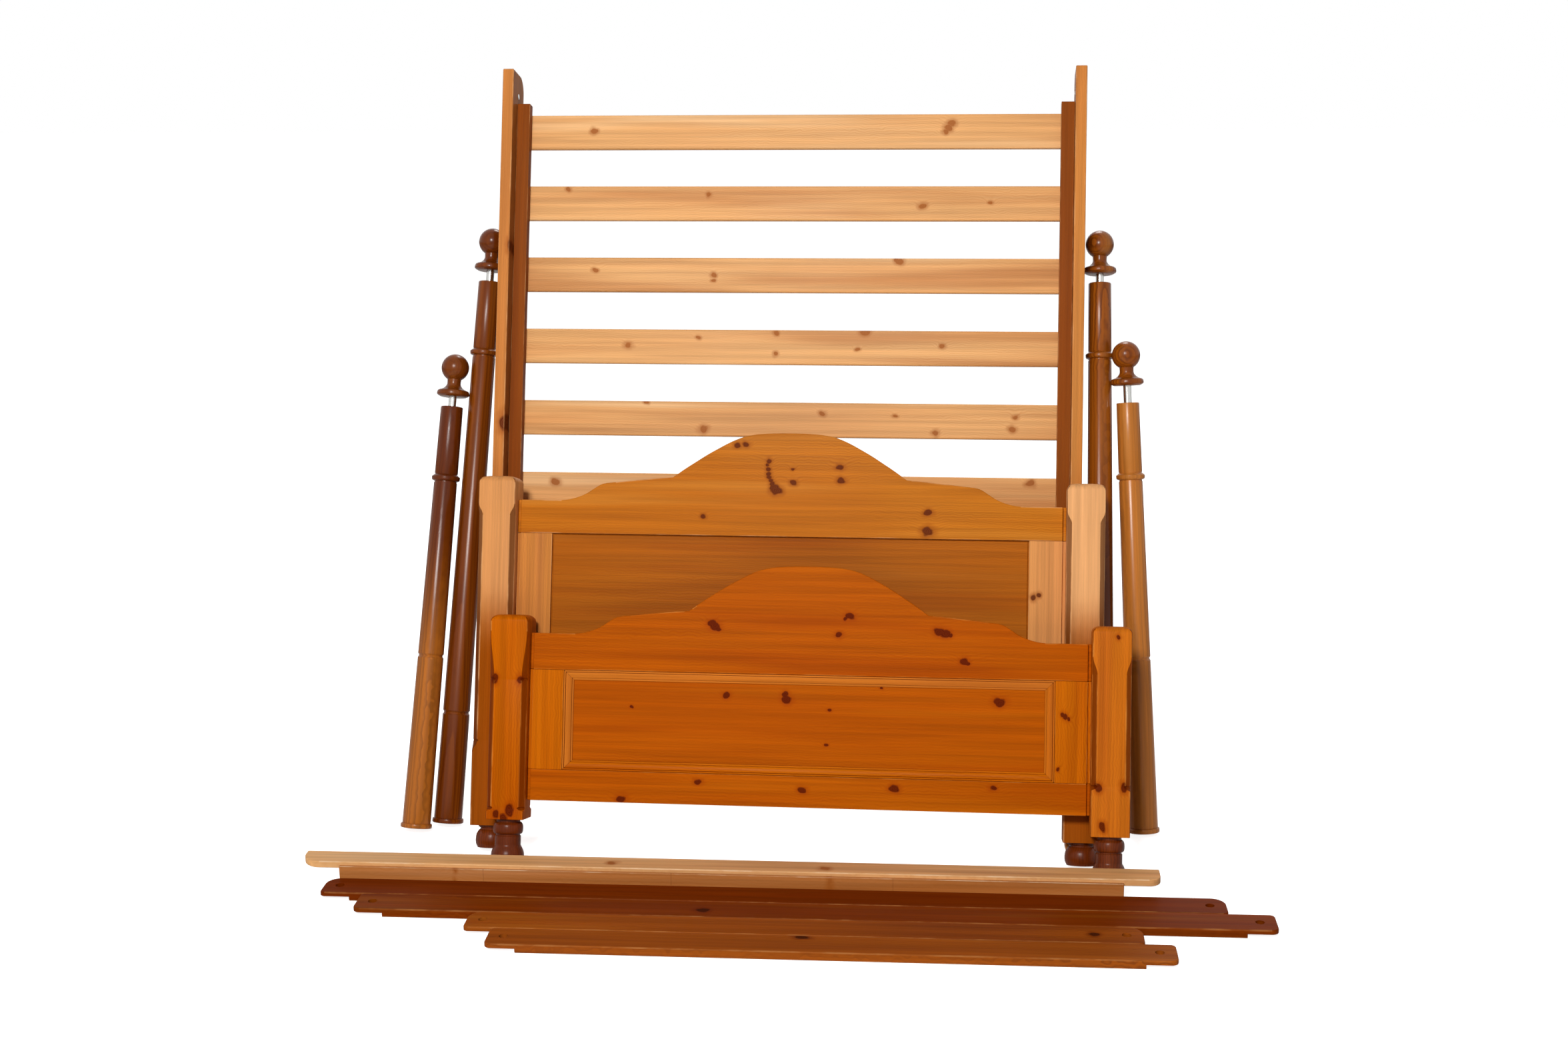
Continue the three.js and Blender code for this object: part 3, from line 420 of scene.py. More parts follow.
def wood(name, look, knots=()):
    """Varnished pine whose grain runs along the piece's own Z; knots are (x, z, radius) in metres."""
    material = bpy.data.materials.new(name)
    n = Nodes(material)
    point = n.attribute("grain", output="Vector")
    seed, pale, deep, fade_from, fade_to = [
        n.attribute(key, "OBJECT") for key in ("seed", "pale", "deep", "fade_from", "fade_to")
    ]
    spread = n.add("ShaderNodeCombineXYZ", {
        "X": n.math("MULTIPLY", seed, 0.37),
        "Y": n.math("MULTIPLY", seed, 0.53),
        "Z": n.math("MULTIPLY", seed, 1.71),
    }).outputs[0]
    own = n.vector("ADD", point, spread)
    wobble = n.noise(own, (40, 40, 40), 1.0).outputs["Color"]
    wobble = n.vector("SUBTRACT", wobble, (0.5, 0.5, 0.5))
    moved = n.vector("ADD", point, n.vector("MULTIPLY", wobble, (0.012, 0, 0.016)))
    x, y, z = n.add("ShaderNodeSeparateXYZ", {0: moved}).outputs

    # Rings bulge round each knot
    rough_edge = n.noise(own, (90, 90, 40), 2.0).outputs["Fac"]
    nearest = nearest_knot(n, x, z, seed, look, knots)
    nearest = n.math("ADD", nearest, n.math("MULTIPLY_ADD", rough_edge, 0.5, -0.25))
    bulge = n.math("EXPONENT", n.math("MULTIPLY", n.math("MULTIPLY", nearest, nearest), -0.16))
    late = growth_rings(n, x, y, own, seed, bulge, look["ring"])
    strength = n.step(n.noise(own, (9, 9, 1.5), 2.0).outputs["Fac"], 0.3, 0.75, 0.35, 1.0)
    late = n.math("MULTIPLY", late, n.math("MULTIPLY", strength, look["contrast"]))

    # Fine pores and slow changes of tone along the board
    pores = n.noise(own, (420, 420, 9), 3.0, 0.6).outputs["Fac"]
    streaks = n.noise(own, (70, 70, 1.4), 3.0, 0.55).outputs["Fac"]
    tone = n.noise(own, (4.5, 4.5, 1.1), 2.0).outputs["Fac"]
    color = n.mix(late, look["light"], look["dark"])
    bands = n.noise(own, (17, 17, 0.9), 2.0).outputs["Fac"]
    color = n.mix(n.step(tone, 0.35, 0.7, 0.0, 0.55), color, look["warm"])
    color = n.mix(n.step(bands, 0.5, 0.72, 0.0, 0.5), color, look["deep"])
    color = n.mix(n.step(bands, 0.46, 0.28, 0.0, 0.4), color, look["pale"])
    # The fade by height paints shade on the head posts and the front left loose post; the pale share paints
    # highlight and reflection on some pieces and gives a paler tone to others
    faded = n.step(z, fade_from, fade_to)
    # Mixes in the pale colour used for worn varnish and for painted highlight
    color = n.mix(n.math("MULTIPLY", pale, n.math("SUBTRACT", 1.0, faded)), color, look["wear_and_highlight"])
    color = n.mix(n.math("MAXIMUM", deep, n.math("MULTIPLY", faded, 0.8)), color, look["deep"])
    fine = n.noise(own, (190, 190, 2.2), 2.0, 0.5).outputs["Fac"]
    shade = n.step(streaks, 0.3, 0.7, 0.88, 1.09)
    shade = n.math("MULTIPLY", shade, n.step(fine, 0.3, 0.7, 0.93, 1.05))
    shade = n.math("MULTIPLY", shade, n.math("MULTIPLY_ADD", pores, 0.16, 0.92))
    grey = n.add("ShaderNodeCombineColor", {0: shade, 1: shade, 2: shade}).outputs[0]
    color = n.mix(1.0, color, grey, "MULTIPLY")

    # Knots: a soft warm halo round a dark red-brown core with rings of its own
    halo = n.step(nearest, 2.4, 0.9, 0.0, 0.55)
    core = n.step(nearest, 1.2, 0.78)
    rim = n.math("MULTIPLY", n.step(nearest, 1.15, 1.0), n.step(nearest, 0.74, 0.92))
    whorl = n.math("MULTIPLY_ADD", n.math("SINE", n.math("MULTIPLY", nearest, 20.0)), 0.09, 0.86)
    color = n.mix(halo, color, look["deep"])
    color = n.mix(n.math("MULTIPLY", core, whorl), color, look["knot"])

    # Painted shade, dark on chamfers and quirks, on the ledgers and on the broad faces of the side rails
    color = n.mix(n.attribute("painted_shade"), color, look["painted_shade"])

    # Varnish worn thin and pale along the edges
    wear_noise = n.noise(own, (30, 30, 12), 3.0, 0.6).outputs["Fac"]
    wear_and_highlight = n.math("MULTIPLY", n.attribute("edge"), n.step(wear_noise, 0.42, 0.66, 0.08, 0.5))
    color = n.mix(wear_and_highlight, color, look["wear_and_highlight"])

    # Varnish dulled by handling, and the relief of grain and knots
    handled = n.noise(own, (7, 7, 3.5), 3.0).outputs["Fac"]
    gloss = n.math("MULTIPLY_ADD", handled, 0.16, look["rough"] - 0.08)
    gloss = n.math("MULTIPLY_ADD", pores, 0.06, gloss)
    gloss = n.math("MULTIPLY_ADD", core, 0.08, gloss)
    relief = n.math("MULTIPLY_ADD", late, 0.5, n.math("MULTIPLY", pores, 0.5))
    relief = n.math("MULTIPLY_ADD", rim, -0.8, relief)
    bump = n.add("ShaderNodeBump", {"Height": relief, "Strength": 0.3, "Distance": 0.0006}).outputs[0]
    shader = n.add("ShaderNodeBsdfPrincipled", {
        "Base Color": color,
        "Roughness": gloss,
        "Normal": bump,
        "Specular IOR Level": look["gloss"],
    })
    n.add("ShaderNodeOutputMaterial", {"Surface": shader.outputs[0]})
    return material


def steel():
    material = bpy.data.materials.new("steel")
    n = Nodes(material)
    point = n.attribute("grain", output="Vector")
    brushed = n.noise(point, (60, 60, 1800), 3.0, 0.6).outputs["Fac"]
    spots = n.noise(point, (240, 240, 240), 4.0, 0.6).outputs["Fac"]
    color = n.mix(n.step(spots, 0.5, 0.75, 0.0, 0.35), srgb(206, 206, 202), srgb(138, 134, 128))
    gloss = n.math("MULTIPLY_ADD", brushed, 0.14, 0.14)
    bump = n.add("ShaderNodeBump", {"Height": brushed, "Strength": 0.25, "Distance": 0.0002}).outputs[0]
    shader = n.add("ShaderNodeBsdfPrincipled", {
        "Base Color": color, "Roughness": gloss, "Normal": bump, "Metallic": 1.0,
    })
    n.add("ShaderNodeOutputMaterial", {"Surface": shader.outputs[0]})
    return material


shared = {name: wood(name, look) for name, look in WOODS.items()}
shared["steel"] = steel()


# Mesh builders: each returns a bmesh in millimetres
def prism(outline, axis, low, high):
    """An outline pushed along an axis. It is in (x, z) for Y, in (x, y) for Z and in (y, z) for X."""
    def place(u, v, w):
        return {"y": (u, w, v), "z": (u, v, w), "x": (w, u, v)}[axis]

    bm = bmesh.new()
    near = [bm.verts.new(place(u, v, low)) for u, v in outline]
    far = [bm.verts.new(place(u, v, high)) for u, v in outline]
    bm.faces.new(near)
    bm.faces.new(list(reversed(far)))
    count = len(outline)
    for i in range(count):
        j = (i + 1) % count
        bm.faces.new([near[j], near[i], far[i], far[j]])
    return bm


def block(x0, x1, y0, y1, z0, z1):
    return prism([(x0, y0), (x1, y0), (x1, y1), (x0, y1)], "z", z0, z1)


def loft(rings):
    """A closed skin over rings of equal count, with a flat face at each end."""
    bm = bmesh.new()
    loops = [[bm.verts.new(p) for p in ring] for ring in rings]
    count = len(loops[0])
    for low, high in zip(loops, loops[1:]):
        for i in range(count):
            j = (i + 1) % count
            bm.faces.new([low[i], low[j], high[j], high[i]])
    bm.faces.new(list(reversed(loops[0])))
    bm.faces.new(loops[-1])
    return bm


def absorb(body, extra):
    """Add the faces of one bmesh to another."""
    copies = {vertex: body.verts.new(vertex.co) for vertex in extra.verts}
    for face in extra.faces:
        body.faces.new([copies[vertex] for vertex in face.verts])
    extra.free()


def lathe(outline, steps=LATHE_STEPS):
    """A turned piece about Z from (radius, height) pairs that start and end on the axis."""
    bm = bmesh.new()
    loops = []
    for r, z in outline:
        if r <= 1e-6:
            loops.append([bm.verts.new((0, 0, z))])
            continue
        angles = [2 * math.pi * i / steps for i in range(steps)]
        loops.append([bm.verts.new((r * math.cos(a), r * math.sin(a), z)) for a in angles])
    for low, high in zip(loops, loops[1:]):
        for i in range(steps):
            j = (i + 1) % steps
            corners = [low[i % len(low)], low[j % len(low)], high[j % len(high)], high[i % len(high)]]
            unique = list(dict.fromkeys(corners))
            if len(unique) > 2:
                bm.faces.new(unique)
    return bm


def rounded(x0, x1, y0, y1, radii, steps=10):
    """Rectangle with a radius for each corner, lower left first, counter-clockwise."""
    corners = [(x0, y0, 180, 1, 1), (x1, y0, 270, -1, 1), (x1, y1, 0, -1, -1), (x0, y1, 90, 1, -1)]
    points = []
    for (x, y, start, sx, sy), r in zip(corners, radii):
        if r == 0:
            points.append((x, y))
            continue
        for k in range(steps + 1):
            angle = math.radians(start + 90 * k / steps)
            points.append((x + sx * r + r * math.cos(angle), y + sy * r + r * math.sin(angle)))
    return points


def smooth(points, parts=4):
    """Points of a curve with more points between them, through every given point."""
    result = []
    for i in range(len(points) - 1):
        p0 = Vector(points[max(i - 1, 0)])
        p1 = Vector(points[i])
        p2 = Vector(points[i + 1])
        p3 = Vector(points[min(i + 2, len(points) - 1)])
        for k in range(parts):
            t = k / parts
            a = 2 * p1 + (p2 - p0) * t
            b = (2 * p0 - 5 * p1 + 4 * p2 - p3) * t * t
            c = (3 * p1 - p0 - 3 * p2 + p3) * t * t * t
            result.append(tuple((a + b + c) / 2))
    result.append(tuple(points[-1]))
    return result


# Local frames: the grain of a piece runs along its own Z
ALONG_Z = Matrix.Identity(4)
ALONG_X = Matrix(((0, 0, 1, 0), (0, 1, 0, 0), (-1, 0, 0, 0), (0, 0, 0, 1)))
LYING_FLAT = Matrix(((0, 0, 1, 0), (1, 0, 0, 0), (0, 1, 0, 0), (0, 0, 0, 1)))
piece_count = 0
SEED_STEP = 0.618
# Faces narrower than this many widths of a rounded edge count as the edge
EDGE_SPREAD = 1.5


def local_knot(knot, grain):
    """A knot given by two places on the broad face and its radius, in the piece's own frame in metres."""
    across, up, radius = knot
    face_point = (across, up, 0) if grain == LYING_FLAT else (across, 0, up)
    here = grain.inverted() @ Vector(face_point)
    return (here.x * MM, here.z * MM, radius * MM)


def mesh_object(name, bm, place, grain):
    """A mesh built in millimetres as an object in metres whose own Z runs along the grain."""
    bmesh.ops.recalc_face_normals(bm, faces=bm.faces)
    bm.transform(grain.inverted() @ Matrix.Scale(MM, 4))
    mesh = bpy.data.meshes.new(name)
    bm.to_mesh(mesh)
    bm.free()
    obj = bpy.data.objects.new(name, mesh)
    bpy.context.scene.collection.objects.link(obj)
    obj.matrix_world = place @ grain
    return obj


def shape(obj, bevel, tools):
    """Round the edges of a piece, cut the tools out of it and keep the result as its mesh."""
    if bevel:
        modifier = obj.modifiers.new("edges", "BEVEL")
        modifier.width = bevel * MM
        modifier.segments = 3
        modifier.limit_method = "ANGLE"
        modifier.angle_limit = math.radians(35)
    for tool in tools:
        modifier = obj.modifiers.new("cut", "BOOLEAN")
        modifier.object = tool
        modifier.operation = "DIFFERENCE"
        modifier.solver = "EXACT"
    bpy.context.view_layer.update()
    evaluated = obj.evaluated_get(bpy.context.evaluated_depsgraph_get())
    blank = obj.data
    final = bpy.data.meshes.new_from_object(evaluated)
    obj.modifiers.clear()
    obj.data = final
    bpy.data.meshes.remove(blank)


def is_edge_strip(mesh, polygon, width):
    """Whether a face is a thin strip along the grain, as the rounding of an edge is."""
    corners = [mesh.vertices[i].co for i in polygon.vertices]
    sides = [a - b for a, b in zip(corners, corners[1:] + corners[:1])]
    longest = max(sides, key=lambda side: side.length)
    along = abs(longest.z) > 0.5 * longest.length
    return along and longest.length > 4 * width and polygon.area / longest.length < width


def mark_faces(mesh, name, values):
    layer = mesh.attributes.new(name, "FLOAT", "FACE")
    layer.data.foreach_set("value", values)


def piece(
    name, bm, place, slot,
    grain=ALONG_Z, bevel=0.0, cutters=(), knots=(), body=BODY, sharp=30, edge=0.0, painted_shade=None,
):
    """A finished piece: built in the frame place, riding on a body and standing for its node.

    The mesh ends in the shared frame and keeps each point's place along the grain as an attribute.
    """
    global piece_count
    piece_count += 1
    obj = mesh_object(name, bm, place, grain)
    tools = [mesh_object("tool", cutter, place, grain) for cutter in cutters]
    if bevel or tools:
        shape(obj, bevel, tools)
        obj.data.name = name
    for tool in tools:
        tool_mesh = tool.data
        bpy.data.objects.remove(tool)
        bpy.data.meshes.remove(tool_mesh)

    mesh = obj.data
    for polygon in mesh.polygons:
        polygon.use_smooth = True
    narrow = (edge or bevel * EDGE_SPREAD) * MM
    mark_faces(mesh, "edge", [float(is_edge_strip(mesh, polygon, narrow)) for polygon in mesh.polygons])
    # Painted shade, face by face, from the function given
    if painted_shade:
        mark_faces(mesh, "painted_shade", [painted_shade(polygon.normal) for polygon in mesh.polygons])
    own = mesh.attributes.new("grain", "FLOAT_VECTOR", "POINT")
    own.data.foreach_set("vector", [c for vertex in mesh.vertices for c in vertex.co])
    mesh.transform(obj.matrix_world)
    obj.matrix_world = Matrix.Identity(4)
    mesh.set_sharp_from_angle(angle=math.radians(sharp))
    if bevel:
        weighted = obj.modifiers.new("flat_faces", "WEIGHTED_NORMAL")
        weighted.keep_sharp = True

    obj["seed"] = piece_count * SEED_STEP
    obj["pale"] = float(PALE_TONE_AND_HIGHLIGHT.get(name, 0.0))
    obj["deep"] = float(DEEP_TONE_AND_SHADE.get(name, 0.0))
    obj["fade_from"], obj["fade_to"] = FADES.get(name, NO_FADE)
    own_knots = [local_knot(knot, grain) for knot in knots or KNOTS.get(name, [])]
    material = wood(f"{slot}_{name}", WOODS[slot], own_knots) if own_knots else shared[slot]
    mesh.materials.clear()
    mesh.materials.append(material)
    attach(obj, body)
    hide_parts(name)


def middle(node):
    low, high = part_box(node)
    return (low + high) / 2


def frame_at(rotation, node, local):
    """The frame of this rotation in which the middle of a node lies at local, in millimetres."""
    origin = middle(node) - rotation.to_3x3() @ (Vector(local) * MM)
    return Matrix.Translation(origin) @ rotation


# Frames of the base and of the two boards, which share one lean
lean = Matrix.Rotation(-LEAN, 4, "X")
first_slat = RAIL_L - SLAT_FIRST
base = frame_at(lean, "slat_01", (0, SLAT_NEAR + SLAT_T / 2, first_slat - SLAT_W / 2))


def chamfer_painted_shade(normal):
    """How much painted shade darkens a post's face: only the chamfers, turned from the light, get it."""
    return 0.75 if min(abs(normal.x), abs(normal.y)) > 0.3 else 0.0


def ledger_painted_shade(_):
    """Ledgers get painted shade all over, where they lie in shadow between rail and slats."""
    return 0.4


def face_painted_shade(normal):
    """Painted shade on the broad faces of a side rail, which turn away from the light, while its lit edges
    stay light.
    """
    return 0.42 if abs(normal.x) > 0.9 else 0.0


def quirk_painted_shade(normal):
    """Painted shade on the steep sides of the moulding, where its quirks lie in shadow."""
    return 0.9 if abs(normal.y) < 0.8 else 0.0


# Slatted base
def barrel_nut():
    """A turned nut with a shallow dimple in its face."""
    face = -BARREL_PROUD
    far = BARREL_L - BARREL_PROUD
    return lathe([
        (0, face + DIMPLE_H), (DIMPLE_R - 1.7, face + DIMPLE_H), (DIMPLE_R - 0.1, face + DIMPLE_H - 0.1),
        (DIMPLE_R + 0.1, face), (BARREL_R - BARREL_EDGE, face), (BARREL_R, face + BARREL_EDGE),
        (BARREL_R, far), (0, far),
    ], 40)


def slatted_base():
    outline = rounded(0, RAIL_H, 0, RAIL_L, (0, RAIL_CORNER_R, RAIL_CORNER_R, 0))
    ledger_low = first_slat - (SLAT_COUNT - 1) * SLAT_PITCH - SLAT_W - LEDGER_BOTTOM_OVERRUN
    ledger_high = first_slat + LEDGER_TOP_OVERRUN
    for side, sign in (("left", -1), ("right", 1)):
        inner = sign * RAIL_INNER
        outer = sign * (RAIL_INNER + RAIL_T)
        holes = []
        for end, z in (("lower", BARREL_FROM_END), ("upper", RAIL_L - BARREL_FROM_END)):
            turn = Matrix.Translation((inner, RAIL_H / 2, z)) @ Matrix.Rotation(sign * math.pi / 2, 4, "Y")
            deep = BARREL_L - BARREL_PROUD + GAP
            bore = BARREL_R + HOLE_CLEARANCE
            hole = lathe([(0, -RAIL_T), (bore, -RAIL_T), (bore, deep), (0, deep)], 32)
            hole.transform(turn)
            holes.append(hole)
            nut = barrel_nut()
            nut.transform(turn)
            piece(f"barrel_nut_{side}_{end}", nut, base, "steel")
        rail = prism(outline, "x", min(inner, outer), max(inner, outer))
        piece(f"side_rail_{side}", rail, base, "honeyPine", bevel=2.6, cutters=holes, painted_shade=face_painted_shade)
        ledger_in = inner - sign * (GAP + LEDGER_W)
        ledger_out = inner - sign * GAP
        ledger = block(
            *sorted((ledger_in, ledger_out)),
            LEDGER_FROM_EDGE, LEDGER_FROM_EDGE + LEDGER_H, ledger_low, ledger_high,
        )
        piece(f"ledger_{side}", ledger, base, "honeyPine", bevel=1.2, painted_shade=ledger_painted_shade)
    half = RAIL_INNER - 1
    for i in range(SLAT_COUNT):
        top = first_slat - i * SLAT_PITCH
        section = rounded(SLAT_NEAR, SLAT_NEAR + SLAT_T, top - SLAT_W, top, (SLAT_EDGE_R,) * 4, 5)
        slat = prism(section, "x", -half, half)
        knots = [(across, top - SLAT_W / 2 + up, radius) for across, up, radius in SLAT_KNOTS[i]]
        piece(f"slat_{i + 1:02d}", slat, base, "palePine", grain=ALONG_X, bevel=0.8, knots=knots)


def post_ring(half, chamfer, z):
    """Square of half width half with chamfered corners, each edge of the chamfer softened."""
    k = half - chamfer
    corners = [
        (half, -k), (half, k), (k, half), (-k, half),
        (-half, k), (-half, -k), (-k, -half), (k, -half),
    ]
    points = []
    for i, corner in enumerate(corners):
        here = Vector(corner)
        before = Vector(corners[i - 1])
        after = Vector(corners[(i + 1) % len(corners)])
        back = (before - here).normalized() * min(EDGE_ROUND, (before - here).length * 0.45)
        ahead = (after - here).normalized() * min(EDGE_ROUND, (after - here).length * 0.45)
        for t in (0, 0.5, 1):
            q = here + back * (1 - t) ** 2 + ahead * t ** 2
            points.append((q.x, q.y, z))
    return points


def square_post(low, high, stops):
    """Square post with stopped chamfers, nicks across its arrises and a domed top."""
    half = POST_W / 2
    top_block, top_tongue, top_nick, low_block, low_tongue, low_nick = stops
    rings = [post_ring(half - 1, ARRIS, low), post_ring(half, ARRIS, low + 1)]
    lower = low + low_block
    upper = high - top_block

    def ease(u):
        return ARRIS + (CHAMFER - ARRIS) * u * u * (3 - 2 * u)

    for k in range(POST_STEPS + 1):
        t = k / POST_STEPS
        rings.append(post_ring(half, ease(t), lower + low_tongue * t))
    nicks = []
    if low_nick:
        nicks.append(lower + low_tongue + NICK_L / 2)
    if top_nick:
        nicks.append(upper - top_tongue - NICK_L / 2)
    for place in nicks:
        rings.append(post_ring(half, CHAMFER, place - NICK_L / 2 + 0.2))
        rings.append(post_ring(half, CHAMFER + NICK, place - 0.6))
        rings.append(post_ring(half, CHAMFER + NICK, place + 0.6))
        rings.append(post_ring(half, CHAMFER, place + NICK_L / 2))
    for k in range(POST_STEPS, -1, -1):
        t = k / POST_STEPS
        rings.append(post_ring(half, ease(t), upper - top_tongue * t))
    for k in range(POST_STEPS + 1):
        angle = k / POST_STEPS * DOME_ARC
        inset = DOME_H * 1.1 * (1 - math.cos(angle))
        rings.append(post_ring(half - inset, ARRIS + inset * 0.7, high - DOME_H + DOME_H * math.sin(angle)))
    return loft(rings)


def turned_foot(height):
    """Foot of the footboard: a bulb, a cove, a bead and a neck."""
    bulb_top = height - FOOT_NECK_H - FOOT_BEAD_H - FOOT_COVE_H
    low = math.asin(FOOT_PAD_R / FOOT_BULB_R)
    bulb = []
    steps = 24
    for k in range(steps + 1):
        angle = min(low + k / steps * (math.pi - 2.1 * low + 0.9), math.pi - 0.9)
        bulb.append((FOOT_BULB_R * math.sin(angle), bulb_top * k / steps))
    top = bulb[-1][0]
    bead = bulb_top + FOOT_COVE_H
    round_bead = smooth([
        (FOOT_BEAD_R - 4, bead + 1), (FOOT_BEAD_R - 1, bead + 5), (FOOT_BEAD_R, bead + FOOT_BEAD_H / 2),
        (FOOT_BEAD_R - 1, bead + FOOT_BEAD_H - 5), (FOOT_BEAD_R - 4, bead + FOOT_BEAD_H),
    ], 5)
    return lathe([
        (0, 0), (FOOT_PAD_R - 2, 0), *bulb[1:], (top - 2, bulb_top + 1.5), (top - 2, bead),
        *round_bead, (FOOT_NECK_R, bead + FOOT_BEAD_H + 2), (FOOT_NECK_R, height - GAP), (0, height - GAP),
    ])


def bun_foot(height):
    """Foot of the headboard: a low bun under a neck."""
    curve = smooth([
        (FOOT_PAD_R, 0), (FOOT_BULB_R - 1, height * 0.16), (FOOT_BULB_R, height * 0.36),
        (FOOT_BULB_R - 2, height * 0.58), (FOOT_BULB_R - 7, height * 0.74),
        (FOOT_NECK_R, height * 0.8),
    ], 6)
    return lathe([
        (0, 0), *curve, (FOOT_NECK_R, height * 0.86), (FOOT_BEAD_R - 3, height * 0.9),
        (FOOT_BEAD_R - 3, height - GAP), (0, height - GAP),
    ])


def arch_points(baseline):
    """The arch of a top rail from right to left."""
    curve = smooth(ARCH[:10], 3)[:-1] + smooth(ARCH[9:], 3)
    right = [(x, baseline + z) for x, z in curve]
    return right + [(-x, z) for x, z in reversed(right[:-1])]


def board_panel(side, low, high, tongue, field):
    """Flat panel with a tongue all round, and a softened edge at its near and far faces."""
    def ring(inset, y):
        left, right = -side + inset, side - inset
        bottom, top = low + inset, high - inset
        return [(left, y, bottom), (right, y, bottom), (right, y, top), (left, y, top)]

    far = FRAME_FAR - PANEL_BACK_RECESS
    deep = GROOVE_D - GAP
    inset = PANEL_INSET
    return loft([
        ring(inset + 1, far), ring(inset, far - 1), ring(inset, tongue[1]), ring(-deep, tongue[1]),
        ring(-deep, tongue[0]), ring(inset, tongue[0]), ring(inset, field + 1), ring(inset + 1, field),
    ])


def make_board(kind):
    """A framed board between its posts: feet, stiles, arched top rail, bottom rail and panel."""
    size = BOARDS[kind]
    finish = size["finish"]
    post_face = POST_CENTRES / 2 - POST_W / 2
    half = post_face - BOARD_GAP
    stile_in = half - size["stile"]
    bottom = size["bottom"]
    open_low = bottom + size["bottom_rail"]
    open_high = size["baseline"] - size["top_rail"]
    height = size["foot_h"]
    board = frame_at(lean, f"{kind}_bottom_rail", (0, FRAME_MID, (bottom + open_low) / 2))
    tongue = (FRAME_MID - GROOVE_W / 2, FRAME_MID + GROOVE_W / 2)
    slot = (tongue[0] - GAP, tongue[1] + GAP)
    tongue_end = post_face - GAP

    for side, sign in (("left", -1), ("right", 1)):
        x = sign * POST_CENTRES / 2
        post = square_post(height, size["top"], STOPS[kind][side])
        post.transform(Matrix.Translation((x, -POST_W / 2, 0)))
        piece(f"{kind}_post_{side}", post, board, finish, sharp=24, edge=2.4, painted_shade=chamfer_painted_shade)
        foot = bun_foot(height) if kind == "head" else turned_foot(height)
        foot.transform(Matrix.Translation((x, -POST_W / 2, 0)))
        piece(f"{kind}_foot_{side}", foot, board, "darkFoot")
        section = [
            (stile_in, FRAME_NEAR), (half, FRAME_NEAR), (half, tongue[0]), (tongue_end, tongue[0]),
            (tongue_end, tongue[1]), (half, tongue[1]), (half, FRAME_FAR), (stile_in, FRAME_FAR),
            (stile_in, slot[1]), (stile_in + GROOVE_D, slot[1]), (stile_in + GROOVE_D, slot[0]),
            (stile_in, slot[0]),
        ]
        stile = prism([(sign * u, v) for u, v in section], "z", open_low + GAP, open_high - GAP)
        piece(f"{kind}_stile_{side}", stile, board, finish, bevel=1.4)

    def rail(low, high, body, groove_low, groove_high):
        """Add the tongues at the ends of a rail, and give the cutter of its groove."""
        for sign in (-1, 1):
            ends = sorted((sign * (half + 0.02), sign * tongue_end))
            absorb(body, block(*ends, *tongue, low, high))
        reach = stile_in + GROOVE_D
        return [block(-reach, reach, *slot, groove_low, groove_high)]

    outline = [(-half, open_high), (half, open_high), (half, size["baseline"])]
    outline += arch_points(size["baseline"]) + [(-half, size["baseline"])]
    top = prism(outline, "y", FRAME_NEAR, FRAME_FAR)
    slots = rail(open_high, size["baseline"], top, open_high - CUT_OVER, open_high + GROOVE_D)
    piece(f"{kind}_top_rail", top, board, finish, grain=ALONG_X, bevel=2.2, cutters=slots)
    low = block(-half, half, FRAME_NEAR, FRAME_FAR, bottom, open_low)
    slots = rail(bottom, open_low, low, open_low - GROOVE_D, open_low + CUT_OVER)
    piece(f"{kind}_bottom_rail", low, board, finish, grain=ALONG_X, bevel=1.6, cutters=slots)

    panel = board_panel(stile_in, open_low, open_high, tongue, FRAME_NEAR + size["recess"])
    piece(f"{kind}_panel", panel, board, finish, grain=ALONG_X, sharp=20)
    if kind == "foot":
        moulding(board, finish, stile_in, open_low, open_high)


def moulding(board, finish, side, low, high):
    """Four strips with mitred ends, planted on the panel against its frame."""
    far = FRAME_NEAR + FIELD_RECESS - GAP
    section = [(MOULD[0][0], far)] + [(inset, FRAME_NEAR + back) for inset, back in MOULD]
    section.append((MOULD[-1][0], far))
    strips = {
        "top": ((-1, 1), (1, 1), (1, 0), ALONG_X),
        "bottom": ((1, -1), (-1, -1), (-1, 0), ALONG_X),
        "left": ((-1, -1), (-1, 1), (0, 1), ALONG_Z),
        "right": ((1, 1), (1, -1), (0, -1), ALONG_Z),
    }
    for name, (start, end, ahead, grain) in strips.items():
        rings = []
        for (sx, sz), sign in ((start, 1), (end, -1)):
            back = GAP * sign
            rings.append([
                (
                    sx * (side - inset) + ahead[0] * back,
                    y,
                    (high - inset if sz > 0 else low + inset) + ahead[1] * back,
                )
                for inset, y in section
            ])
        piece(f"foot_moulding_{name}", loft(rings), board, finish, grain=grain, sharp=35, painted_shade=quirk_painted_shade)


